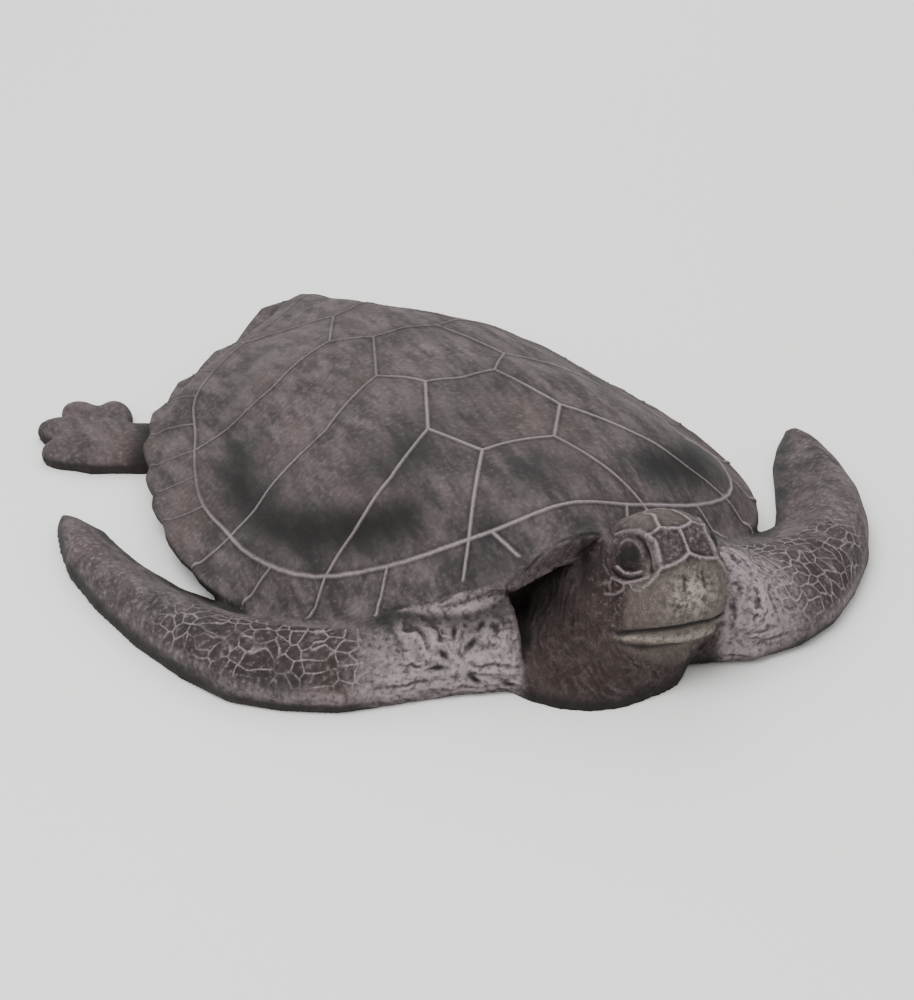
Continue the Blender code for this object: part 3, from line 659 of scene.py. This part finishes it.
def head_relief(skin, zone, size):
    """Raised seams of the head's scutes, lids round the eyes, nostrils, mouth and its soft lower lip."""
    place = zone["head_place"]
    weight = zone["head"]
    both = mirrored(place, 1)
    distance = away_from(HEAD_SEAMS, both, 12.0)
    seam = np.exp(-(distance / 1.15) ** 2)
    relief = seam * size.head_seam - 0.22 * MM * np.exp(-((distance - 3.4) / 1.6) ** 2)
    nostril = round_line([NOSTRIL], both, 9.0, 2.3)
    relief -= nostril * 0.6 * MM
    zone["seam"] = weight * seam * 0.85
    zone["eye"] = np.zeros(len(skin.points))
    # painted shade in the head's recesses: the nostrils, the grooves round the eyes, the mouth line and
    # below the lower lip
    dark = 0.32 * nostril
    for side in (1, -1):
        eye = seen_from(eye_frame(side), zone["steps"])
        close = ease((20 - np.abs(eye[:, 2])) / 4) * (np.abs(eye[:, 0]) < 50) * (np.abs(eye[:, 1]) < 50)
        for line, half, height, pale in EYE_LINES:
            ridge = close * round_line([line], eye[:, :2], 9.0, half)
            relief += ridge * height * MM
            zone["seam"] = np.maximum(zone["seam"], ridge * pale)
            if height < 0:
                dark = np.maximum(dark, ridge)
        oval = np.hypot((eye[:, 0] + 2) / 9.5, (eye[:, 1] - 1) / 11.0)
        ball = close * ease((1.2 - oval) / 0.45)
        relief += ball * 0.9 * MM * np.clip(1 - oval * oval, 0, 1)
        # the eyeball is painted near-black, its own dark colour, and a painted highlight leaves its forward
        # lower side lighter
        lit = ease((eye[:, 0] - eye[:, 1] - 1) / 9)
        zone["eye"] = np.maximum(zone["eye"], ball * (1 - 0.4 * lit))
    mouth = -42.0 + 0.48 * np.clip(place[:, 0] - 14, 0, 60)
    level = place[:, 2] - mouth
    ahead = np.clip((place[:, 0] - 14) / 36, 0, 1)
    front = ease((place[:, 0] - 8) / 8) * weight
    relief -= front * 1.5 * MM * np.exp(-(level / (2.6 - 0.8 * ahead)) ** 2)
    middle, half = -4.0 - 8.0 * ahead, 2.6 + 3.0 * ahead
    lip = np.exp(-((level - middle) / half) ** 2)
    # groove under the lower lip, painted dark below it as shade
    under = np.exp(-((level - middle + 2.1 * half) / (0.8 * half)) ** 2)
    relief += front * (lip * 1.1 - under * 0.8) * MM
    corner = np.exp(-np.linalg.norm((both - (14, 50, -42)) / (5, 9, 4), axis=1) ** 2)
    zone["mouth"] = np.maximum(front * np.exp(-(level / 2.4) ** 2), corner)
    zone["lip"] = front * lip
    relief += only(weight, lambda which: clouds(skin.points[which], 12 * MM, 21, 3) * 0.5 * MM)
    fore = ease((place[:, 0] - 10) / 12)
    zone["snout"] = weight * np.exp(-np.linalg.norm((place - (48, -4, 4)) / (15, 23, 21), axis=1) ** 2)
    zone["cheek"] = weight * fore * ease((33 - place[:, 2]) / 6)
    brow = weight * ease((place[:, 0] - 8) / 5) * ease((place[:, 2] - 27) / 5)
    brow *= ease((32 - np.abs(place[:, 1])) / 4)
    zone["brow"] = brow * (1 - seam)
    zone["rear"] = weight * (1 - fore) * ease((46 - place[:, 2]) / 10)
    rough = np.clip(zone["brow"] + zone["snout"] + 0.6 * zone["rear"], 0, 1)
    relief += only(rough, lambda which: clouds(skin.points[which], 4.5 * MM, 24, 2) * 0.3 * MM) * rough
    zone["dark"] = weight * strongest(dark, 0.7 * under * front, 0.85 * zone["mouth"])
    return relief * weight


def neck_relief(skin, zone, size):
    """Wrinkles that ring the chin on neck and throat, and the creased, pitted webbing at the shoulders."""
    steps = zone["steps"]
    place = zone["head_place"]
    loose = np.clip(zone["neck"] + 0.8 * zone["head"] * ease((8 - place[:, 0]) / 14) * ease(
        (30 - place[:, 2]) / 10), 0, 1)
    away = place - (16, 0, -30)
    radius = np.maximum(np.linalg.norm(away, axis=1), 1.0)
    warp = only(loose, lambda which: clouds(steps[which], 26.0, 30, 2))
    folds = away / radius[:, None] * 7.0
    folds = np.stack((folds[:, 0] + folds[:, 2] * 0.6, folds[:, 1], radius / 5.5 + 1.1 * warp), axis=1)

    def wrinkles(which):
        crease = 1 - np.abs(clouds(folds[which], 1.0, 31, 3)) * 1.3
        return (crease - 0.5) * (0.6 + 0.4 * clouds(steps[which], 20.0, 33, 2))

    relief = loose * only(loose, wrinkles) * size.wrinkle_depth
    zone["loose"] = loose
    sided = zone["sided"]
    shoulder = zone["shoulder"]
    away = sided - CREASES_MEET
    radius = np.hypot(away[:, 0], away[:, 2] * 1.3)
    angle = np.arctan2(away[:, 2] * 1.3, away[:, 0])
    rough = only(shoulder, lambda which: clouds(skin.points[which], 8 * MM, 43, 3))
    fan = np.stack((angle * 2.3 + 0.45 * rough, radius / 45.0, np.full(len(steps), 0.5)), axis=1)
    level = np.stack((away[:, 0] / 42.0, away[:, 2] / 7.0 + 0.4 * rough, np.full(len(steps), 2.5)), axis=1)
    rays = only(shoulder, lambda which: clouds(fan[which], 1.0, 42, 3))
    rows = only(shoulder, lambda which: clouds(level[which], 1.0, 45, 2))
    low = ease((-2 - away[:, 2]) / 9)
    beyond = ease((-34 - away[:, 0]) / 16)
    creases = rays * 2.4 * (1 - low) * (1 - 0.8 * beyond) + rows * 1.1 * low
    relief += shoulder * creases * MM * ease((radius - 7) / 18)
    relief += shoulder * rough * 0.8 * MM
    pit = np.zeros(len(steps))
    for point in PITS:
        toward = np.array(CREASES_MEET) - point
        toward /= np.linalg.norm(toward)
        apart = sided - point
        along = apart @ toward
        across = np.linalg.norm(apart - along[:, None] * toward, axis=1)
        pit = np.maximum(pit, np.exp(-(along / PIT_SIZE[0]) ** 2 - (across / PIT_SIZE[1]) ** 2))
    relief -= shoulder * pit * PIT_DEPTH * MM
    # the pits are painted near-black as the shade in them
    zone["pit"] = shoulder * pit
    return relief


def cast_surface(node, size):
    """The casting's finished surface and its masks, from the faceted solid."""
    even = bpy.data.objects.new("even", node.data.copy())
    bpy.context.scene.collection.objects.link(even)
    remesh = even.modifiers.new("even faces", "REMESH")
    remesh.mode = "VOXEL"
    remesh.voxel_size = size.mesh_step * 1.0
    graph = bpy.context.evaluated_depsgraph_get()
    mesh = bpy.data.meshes.new_from_object(even.evaluated_get(graph))
    bpy.data.objects.remove(even)
    skin = Skin(mesh)
    bpy.data.meshes.remove(mesh)

    skin.keep_largest()
    eased_skin(skin)
    drooped_lip(skin)
    zone = zones(skin)
    seams = away_from(shell_seams(), zone["steps"][:, :2], 8.0) * STEP
    high = (zone["steps"][:, 2] > 18) & (zone["normals"][:, 2] > -0.1)
    wanted = (zone["top"] > 0.05) & (seams < 3.0 * MM)
    wanted |= (zone["head"] > 0.1) | (zone["neck"] > 0.3) | (zone["shoulder"] > 0.1)
    for name, end in FINE_SPAN:
        wanted |= high & (zone[name] > 0.2) & (zone[name + "_along"] < end) & (zone[name + "_outward"] > -25)
    skin.split(wanted)
    zone = zones(skin)
    relief = shell_relief(skin, zone, size)
    relief += flipper_relief(skin, zone, size)
    relief += head_relief(skin, zone, size)
    relief += neck_relief(skin, zone, size)
    crease = round_line([LIP_CREASE], zone["steps"], 9.0, 1.5)
    relief -= crease * 0.6 * MM
    # the crease is painted dark as shade as well
    zone["dark"] = np.maximum(zone["dark"], 0.55 * crease)
    zone["fold"] = round_line([LIP_EDGE], zone["steps"] + (0, 0, 6), 30.0, 13) * ease(
        (-334 - zone["steps"][:, 1]) / 8) * (1 - zone["head"])
    # painted shade: the deep gap between neck and shell is painted near-black
    zone["hidden"] = round_line([GAP], zone["sided"], 30.0, 6.5)
    relief *= ease(skin.points[:, 2] / (3 * MM))
    zone["relief"] = relief
    skin.points += skin.normals() * relief[:, None]
    skin.points[zone["sole"], 2] = 0.0
    skin.points[:, 2] = np.maximum(skin.points[:, 2], 0.0)
    return skin, zone


def masks(skin, zone):
    """What the painter's brush leaves: pale crests, dark hollows, and the tints of each region; and the
    painted shade in gaps, pits, creases, under the rim and near the floor.
    """
    relief = zone["relief"]
    soft = skin.spread(relief, FINE_ROUNDS)
    fine = (relief - soft) / FINE_HEIGHT
    broad = (soft - skin.spread(soft, BROAD_ROUNDS)) / BROAD_HEIGHT
    limb = 1 - 0.85 * zone["top"] - 0.6 * zone["cheek"] - 0.85 * zone["loose"] - 0.8 * zone["head"]
    limb -= 0.4 * zone["scaly"]
    limb = np.clip(limb, 0, 1)
    limb_wash_and_shade = np.zeros(len(relief))
    for x, y, z, radius, strength in LIMB_WASH_AND_SHADE:
        away = np.linalg.norm(zone["sided"] - (x, y, z), axis=1)
        limb_wash_and_shade = np.maximum(limb_wash_and_shade, strength * np.exp(-(away / radius) ** 2) * (1 - zone["top"]))
    crown = 0.7 * zone["head"] * ease((zone["head_place"][:, 2] - 44) / 6) * (1 - zone["brow"])
    blade = np.clip(zone["right"] + zone["left"], 0, 1)
    far = np.maximum(zone["right_along"] - 200, zone["left_along"] - 190)
    # the far part of the blades darker towards the floor
    low_edge = blade * ease(far / 60) * ease((24 - zone["steps"][:, 2]) / 8)
    # painted shade: dark brown at the rear flippers' root under the rim
    root = 0.9 * np.exp(-(np.linalg.norm(zone["sided"] - REAR_ROOT_SHADE, axis=1) / REAR_ROOT_SHADE_RADIUS) ** 2)
    # painted shade on faces turned down near the floor, less on the shoulder
    low = ease((21 - zone["steps"][:, 2]) / 12) * ease((0.45 - zone["normals"][:, 2]) / 0.4)
    low = low * (1 - 0.5 * zone["shoulder"])
    # the shares below were matched to the photo region by region
    found = {
        "crest": np.clip((0.6 * fine + 0.5 * broad) * limb, 0, 1) * (1 - zone["hidden"]) * (1 - zone["eye"]),
        "hollow": np.clip(-0.55 * fine - 0.6 * broad * (1 - 0.6 * zone["top"]), 0, 1),
        "line": strongest(0.72 * zone["rib"], 0.34 * zone["net"], zone["seam"]),
        "shadow": strongest(
            zone["pit"], zone["dark"], 0.8 * zone["valley"] ** 3, 0.95 * zone["eye"],
            0.85 * zone["hidden"] * (1 - zone["band"]), 0.85 * zone["under"] * (1 - 0.8 * zone["fold"]),
            0.8 * low * (1 - 0.8 * zone["roll"])),
        # the wash, and painted shade at the hollow inside the brim and on the limbs under the rim and along
        # the scales
        "wash": strongest(
            zone["valley"], zone["patch"], 0.4 * zone["foot"], 0.3 * zone["scale"], limb_wash_and_shade,
            0.85 * low_edge),
        "pale": strongest(0.82 * zone["shoulder"], 0.45 * zone["roll"], 0.35 * zone["fold"]) * (
            1 - zone["hidden"]) * (1 - limb_wash_and_shade),
        "olive": np.clip(zone["cheek"] + zone["lip"] + crown, 0, 1),
        "snout": np.clip(zone["snout"] + 0.5 * zone["lip"], 0, 1),
        "brown": strongest(
            zone["loose"], zone["rear"], 0.35 * zone["brow"], zone["scale"], 0.8 * zone["scaly"], root),
        "mottle": np.clip(0.35 - 0.25 * np.maximum(zone["loose"], zone["fold"]) + strongest(
            0.65 * zone["brow"], zone["snout"], 0.25 * zone["rear"], 0.4 * zone["shoulder"],
            0.3 * blade), 0, 1),
        "grit": np.clip(0.25 + 0.75 * np.maximum(zone["head"], zone["loose"]) - 0.1 * zone["top"], 0, 1)}
    return found


def linear(colour):
    """Linear red, green, blue and alpha of an sRGB hex colour."""
    parts = [int(colour[start:start + 2], 16) / 255 for start in (1, 3, 5)]
    return tuple(c / 12.92 if c <= 0.04045 else ((c + 0.055) / 1.055) ** 2.4 for c in parts) + (1.0,)


def add(tree, kind, settings=None, links=None):
    """Add one node; links give its sockets their values, or the outputs that feed them."""
    node = tree.nodes.new(kind)
    for name, value in (settings or {}).items():
        setattr(node, name, value)
    for name, value in (links or {}).items():
        socket = node.inputs[name]
        if isinstance(value, bpy.types.NodeSocket):
            tree.links.new(value, socket)
        else:
            socket.default_value = value
    return node


def antiqued_cast_stone(finish):
    """Stone-filled casting, antiqued by hand. Matt and slightly gritty, brown-grey with brush streaks, a
    green-black wash left in the hollows and a pale mauve-grey dry brush on every ridge, with painted shade
    in gaps, pits, creases, under the rim and near the floor."""
    material = bpy.data.materials.new("antiqued cast stone")
    material.use_nodes = True
    tree = material.node_tree
    shader = tree.nodes["Principled BSDF"]
    place = add(tree, "ShaderNodeTexCoord").outputs["Object"]

    def mask(name):
        return add(tree, "ShaderNodeAttribute", {"attribute_name": name}).outputs["Fac"]

    def noise(millimetres, detail=4.0, squash=None):
        vector = place
        if squash:
            vector = add(tree, "ShaderNodeMapping", None, {"Vector": place, "Rotation": squash[0],
                                                           "Scale": squash[1]}).outputs["Vector"]
        return add(tree, "ShaderNodeTexNoise", None, {"Vector": vector, "Scale": 1000.0 / millimetres,
                                                      "Detail": detail, "Roughness": 0.6}).outputs["Fac"]

    def ramp(value, low, high, start=0.0, end=1.0):
        return add(tree, "ShaderNodeMapRange", {"interpolation_type": "SMOOTHSTEP"},
                   {"Value": value, "From Min": low, "From Max": high, "To Min": start,
                    "To Max": end}).outputs["Result"]

    def times(first, second):
        return add(tree, "ShaderNodeMath", {"operation": "MULTIPLY"}, {0: first, 1: second}).outputs[0]

    def plus(first, second):
        return add(tree, "ShaderNodeMath", {"operation": "ADD", "use_clamp": True},
                   {0: first, 1: second}).outputs[0]

    def tint(below, colour, share):
        # sockets of a colour mix: 0 its share, 6 and 7 the two colours, and 2 the result
        node = add(tree, "ShaderNodeMix", {"data_type": "RGBA"}, {0: share, 6: below, 7: colour})
        return node.outputs[2]

    def shade(name):
        return tuple(getattr(finish, name)) + (1.0,)

    # brush strokes 9 mm apart and some 40 mm long, turned a little across the shell; cloudy changes over
    # 26 and 70 mm, where more or less of a tint was left; and the casting's own grit, about 1 mm, drawn
    # at 1.6 and 0.75 mm, as its finest grains are too small to show
    streaks = noise(9.0, 5.0, ((0.0, 0.0, 0.6), (1.0, 0.22, 0.6)))
    blotches = noise(70.0, 4.0)
    cloudy = noise(26.0, 5.0)
    sand = noise(1.6, 3.0)
    grain = noise(0.75, 3.0)
    # stone colour first, then the tints of each region
    colour = tint(shade("umber"), shade("stone"), ramp(streaks, 0.34, 0.66))
    colour = tint(colour, shade("warm"), times(ramp(blotches, 0.42, 0.66), 0.6))
    colour = tint(colour, shade("olive"), times(mask("olive"), 0.85))
    colour = tint(colour, shade("brown"), times(mask("brown"), ramp(cloudy, 0.3, 0.65, 1.0, 0.72)))
    # stone showing through the brown in spots of 6 mm, and the snout rubbed pale in spots of 5 mm
    lighter = times(mask("brown"), ramp(noise(6.0, 4.0), 0.46, 0.64))
    colour = tint(colour, shade("stone"), times(lighter, 0.2))
    colour = tint(colour, shade("snout"), times(mask("snout"), ramp(noise(5.0, 3.0), 0.36, 0.6, 0.15, 1.0)))
    left = times(ramp(cloudy, 0.42, 0.62), ramp(blotches, 0.60, 0.42))
    colour = tint(colour, shade("wash"), times(left, 0.32))
    # rubbed spots and pores of 3 mm
    speckle = noise(3.2, 4.0)
    colour = tint(colour, shade("soot"), times(ramp(speckle, 0.50, 0.36), times(mask("mottle"), 0.62)))
    colour = tint(colour, shade("dry_brush"), times(ramp(speckle, 0.52, 0.68), times(mask("mottle"), 0.42)))
    # the wash, with painted shade in it, then the dry brush over what stands up, and painted shade in the
    # gaps and pits
    brushed = times(ramp(cloudy, 0.25, 0.6, 0.75, 1.0), ramp(streaks, 0.62, 0.40, 0.8, 1.0))
    colour = tint(colour, shade("wash"), times(mask("wash"), brushed))
    colour = tint(colour, shade("dry_brush"), times(times(mask("pale"), ramp(cloudy, 0.3, 0.62, 0.6, 1.0)),
                                                  ramp(speckle, 0.36, 0.54, 0.3, 1.0)))
    colour = tint(colour, shade("dry_brush"), times(mask("crest"), ramp(sand, 0.35, 0.6, 0.25, 0.65)))
    colour = tint(colour, shade("soot"), times(mask("hollow"), ramp(cloudy, 0.2, 0.6, 0.45, 0.75)))
    colour = tint(colour, shade("soot"), mask("shadow"))
    colour = tint(colour, shade("dry_brush"), times(mask("line"), ramp(sand, 0.25, 0.6, 0.6, 1.0)))
    # last, dark specks between the grains
    specks = times(ramp(grain, 0.50, 0.34), ramp(mask("grit"), 0.2, 1.0, 0.25, 0.6))
    colour = tint(colour, shade("soot"), specks)
    tree.links.new(colour, shader.inputs["Base Color"])
    tree.links.new(ramp(sand, 0.3, 0.7, 0.74, 0.88), shader.inputs["Roughness"])
    shader.inputs["Specular IOR Level"].default_value = 0.22
    height = plus(times(sand, 0.6), times(grain, 0.4))
    bump = add(tree, "ShaderNodeBump", None, {"Strength": ramp(mask("grit"), 0.0, 1.0, 0.15, 0.8),
                                              "Distance": 0.0006, "Height": height})
    tree.links.new(bump.outputs["Normal"], shader.inputs["Normal"])
    return material


def studio_floor(colour):
    """Plain pale matt backdrop board: it gives the statue soft light from below and a faint shadow."""
    material = bpy.data.materials.new("pale backdrop board")
    material.use_nodes = True
    shader = material.node_tree.nodes["Principled BSDF"]
    shader.inputs["Base Color"].default_value = tuple(colour) + (1.0,)
    shader.inputs["Roughness"].default_value = 0.9
    return material


class TURTLE_PG_casting(bpy.types.PropertyGroup):
    """Sizes of the casting's relief."""
    rib_width: FloatProperty(name="Rib width", description="Width of the raised ribs between the scutes",
                             default=0.0016, unit="LENGTH")
    rib_height: FloatProperty(name="Rib height", description="Height of the ribs above the scutes",
                              default=0.0009, unit="LENGTH")
    scale_ridge: FloatProperty(name="Scale ridge", description="Height of the lines round the scales",
                               default=0.00045, unit="LENGTH")
    head_seam: FloatProperty(name="Head seam", description="Height of the seams between the head's scutes",
                             default=0.0008, unit="LENGTH")
    wrinkle_depth: FloatProperty(name="Wrinkle depth", description="Depth of the folds on neck and throat",
                                 default=0.0009, unit="LENGTH")
    mesh_step: FloatProperty(name="Mesh step", description="Spacing of the surface's points",
                             default=0.0015, unit="LENGTH")
    triangles: IntProperty(name="Triangles", description="Triangles of the finished casting",
                           default=190000)


class TURTLE_PG_finish(bpy.types.PropertyGroup):
    """Colours of the antiqued finish."""
    stone: FloatVectorProperty(name="Stone", description="Lighter strokes of the stone colour",
                               subtype="COLOR", size=3, default=linear("#5d5354")[:3])
    umber: FloatVectorProperty(name="Umber", description="Darker strokes of the stone colour",
                               subtype="COLOR", size=3, default=linear("#383132")[:3])
    warm: FloatVectorProperty(name="Warm grey", description="Blotches of warmer brown-grey",
                              subtype="COLOR", size=3, default=linear("#4d423f")[:3])
    olive: FloatVectorProperty(name="Olive", description="Olive-grey of the cheeks and lip",
                               subtype="COLOR", size=3, default=linear("#554d47")[:3])
    brown: FloatVectorProperty(name="Brown", description="Dark brown of the neck's loose skin",
                               subtype="COLOR", size=3, default=linear("#281c19")[:3])
    snout: FloatVectorProperty(name="Snout", description="Rubbed pale patch on the snout",
                               subtype="COLOR", size=3, default=linear("#a0978d")[:3])
    # green-black of the wash, used too for painted shade inside the brim and on the limbs
    wash: FloatVectorProperty(name="Wash and shade", description="Green-black wash left in the hollows",
                              subtype="COLOR", size=3, default=linear("#1d201f")[:3])
    # near-black of the specks and of the wash in the hollows, and of the painted shade in gaps, pits,
    # creases, under the rim and near the floor
    soot: FloatVectorProperty(name="Dark specks and shade", description="Near-black in gaps, pits and specks",
                              subtype="COLOR", size=3, default=linear("#151312")[:3])
    dry_brush: FloatVectorProperty(name="Dry brush", description="Pale mauve-grey on the ridges",
                                   subtype="COLOR", size=3, default=linear("#9a8d90")[:3])


class TURTLE_PG_stage(bpy.types.PropertyGroup):
    """Floor and light of the studio."""
    floor: FloatVectorProperty(name="Floor", description="Colour of the floor", subtype="COLOR", size=3,
                               default=linear("#f1f0ee")[:3])
    key: FloatProperty(name="Key light", description="Power of the large light above", default=40.0,
                       subtype="POWER")
    fill: FloatProperty(name="Fill light", description="Strength of the light all round", default=1.05)


class TURTLE_OT_casting(bpy.types.Operator):
    """Build the statue's finished casting over its solid"""
    bl_idname = "turtle.casting"
    bl_label = "Cast the statue"

    def execute(self, context):
        size = context.scene.turtle_casting
        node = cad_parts["sea_turtle"]
        skin, zone = cast_surface(node, size)
        mesh = skin.to_mesh("sea_turtle_casting")
        for name, values in masks(skin, zone).items():
            layer = mesh.attributes.new(name, "FLOAT", "POINT")
            layer.data.foreach_set("value", values.astype(np.float32))
        piece = bpy.data.objects.new("sea_turtle_casting", mesh)
        context.scene.collection.objects.link(piece)
        thin = piece.modifiers.new("fewer triangles", "DECIMATE")
        thin.ratio = min(1.0, size.triangles / len(mesh.polygons))
        graph = context.evaluated_depsgraph_get()
        piece.data = bpy.data.meshes.new_from_object(piece.evaluated_get(graph))
        piece.modifiers.clear()
        bpy.data.meshes.remove(mesh)
        piece.data.shade_smooth()
        piece.data.materials.clear()
        piece.data.materials.append(antiqued_cast_stone(context.scene.turtle_finish))
        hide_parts("sea_turtle")
        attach(piece, "root")
        print("casting:", len(piece.data.polygons), "triangles")
        return {"FINISHED"}


class TURTLE_OT_stage(bpy.types.Operator):
    """Add the floor, the soft studio light and the camera"""
    bl_idname = "turtle.stage"
    bl_label = "Set the stage"

    def execute(self, context):
        scene = context.scene
        stage = scene.turtle_stage
        mesh = bpy.data.meshes.new("studio_floor")
        corners = [(x * FLOOR_REACH, y * FLOOR_REACH, 0) for x, y in ((-1, -1), (1, -1), (1, 1), (-1, 1))]
        mesh.from_pydata(corners, [], [(0, 1, 2, 3)])
        floor = bpy.data.objects.new("studio_floor", mesh)
        mesh.materials.append(studio_floor(stage.floor))
        scene.collection.objects.link(floor)

        world = bpy.data.worlds.new("studio")
        scene.world = world
        world.use_nodes = True
        background = world.node_tree.nodes["Background"]
        background.inputs["Color"].default_value = (1.0, 1.0, 1.0, 1.0)
        background.inputs["Strength"].default_value = stage.fill
        for name, place, size, share in LIGHTS:
            light = bpy.data.lights.new(name, "AREA")
            light.size = size
            light.energy = stage.key * share
            lamp = bpy.data.objects.new(name, light)
            lamp.location = place
            lamp.rotation_euler = (-Vector(place)).to_track_quat("-Z", "Y").to_euler()
            scene.collection.objects.link(lamp)

        azimuth, elevation = math.radians(CAMERA_ROUND), math.radians(CAMERA_ABOVE)
        back = Vector((math.sin(azimuth) * math.cos(elevation), -math.cos(azimuth) * math.cos(elevation),
                       math.sin(elevation)))
        right = Vector((math.cos(azimuth), math.sin(azimuth), 0))
        camera = bpy.data.cameras.new("camera")
        camera.sensor_width = CAMERA_SENSOR
        camera.lens = CAMERA_LENS
        camera.shift_x = CAMERA_SHIFT
        camera.clip_end = 50.0
        eye = bpy.data.objects.new("camera", camera)
        turn = Matrix((right, back.cross(right), back)).transposed().to_4x4()
        eye.matrix_world = Matrix.Translation(Vector(PLACE) + back * CAMERA_AWAY * STEP) @ turn
        scene.collection.objects.link(eye)
        scene.camera = eye
        return {"FINISHED"}


class TURTLE_PT_panel(bpy.types.Panel):
    """Sizes, colours and the steps in their order"""
    bl_idname = "TURTLE_PT_panel"
    bl_label = "Sea turtle statue"
    bl_space_type = "VIEW_3D"
    bl_region_type = "UI"
    bl_category = "Sea turtle"

    def draw(self, context):
        for group in (context.scene.turtle_casting, context.scene.turtle_finish, context.scene.turtle_stage):
            box = self.layout.box()
            for name in group.bl_rna.properties.keys():
                if name not in ("rna_type", "name"):
                    box.prop(group, name)
        self.layout.operator("turtle.casting")
        self.layout.operator("turtle.stage")


CLASSES = (TURTLE_PG_casting, TURTLE_PG_finish, TURTLE_PG_stage, TURTLE_OT_casting, TURTLE_OT_stage,
           TURTLE_PT_panel)


def register():
    """Make the classes and their settings known to Blender."""
    for item in CLASSES:
        bpy.utils.register_class(item)
    bpy.types.Scene.turtle_casting = PointerProperty(type=TURTLE_PG_casting)
    bpy.types.Scene.turtle_finish = PointerProperty(type=TURTLE_PG_finish)
    bpy.types.Scene.turtle_stage = PointerProperty(type=TURTLE_PG_stage)


def unregister():
    """Take them away again."""
    del bpy.types.Scene.turtle_stage
    del bpy.types.Scene.turtle_finish
    del bpy.types.Scene.turtle_casting
    for item in reversed(CLASSES):
        bpy.utils.unregister_class(item)


def main():
    """Build everything."""
    register()
    bpy.ops.turtle.casting()
    bpy.ops.turtle.stage()
    bpy.context.view_layer.update()


if __name__ == "__main__":
    main()
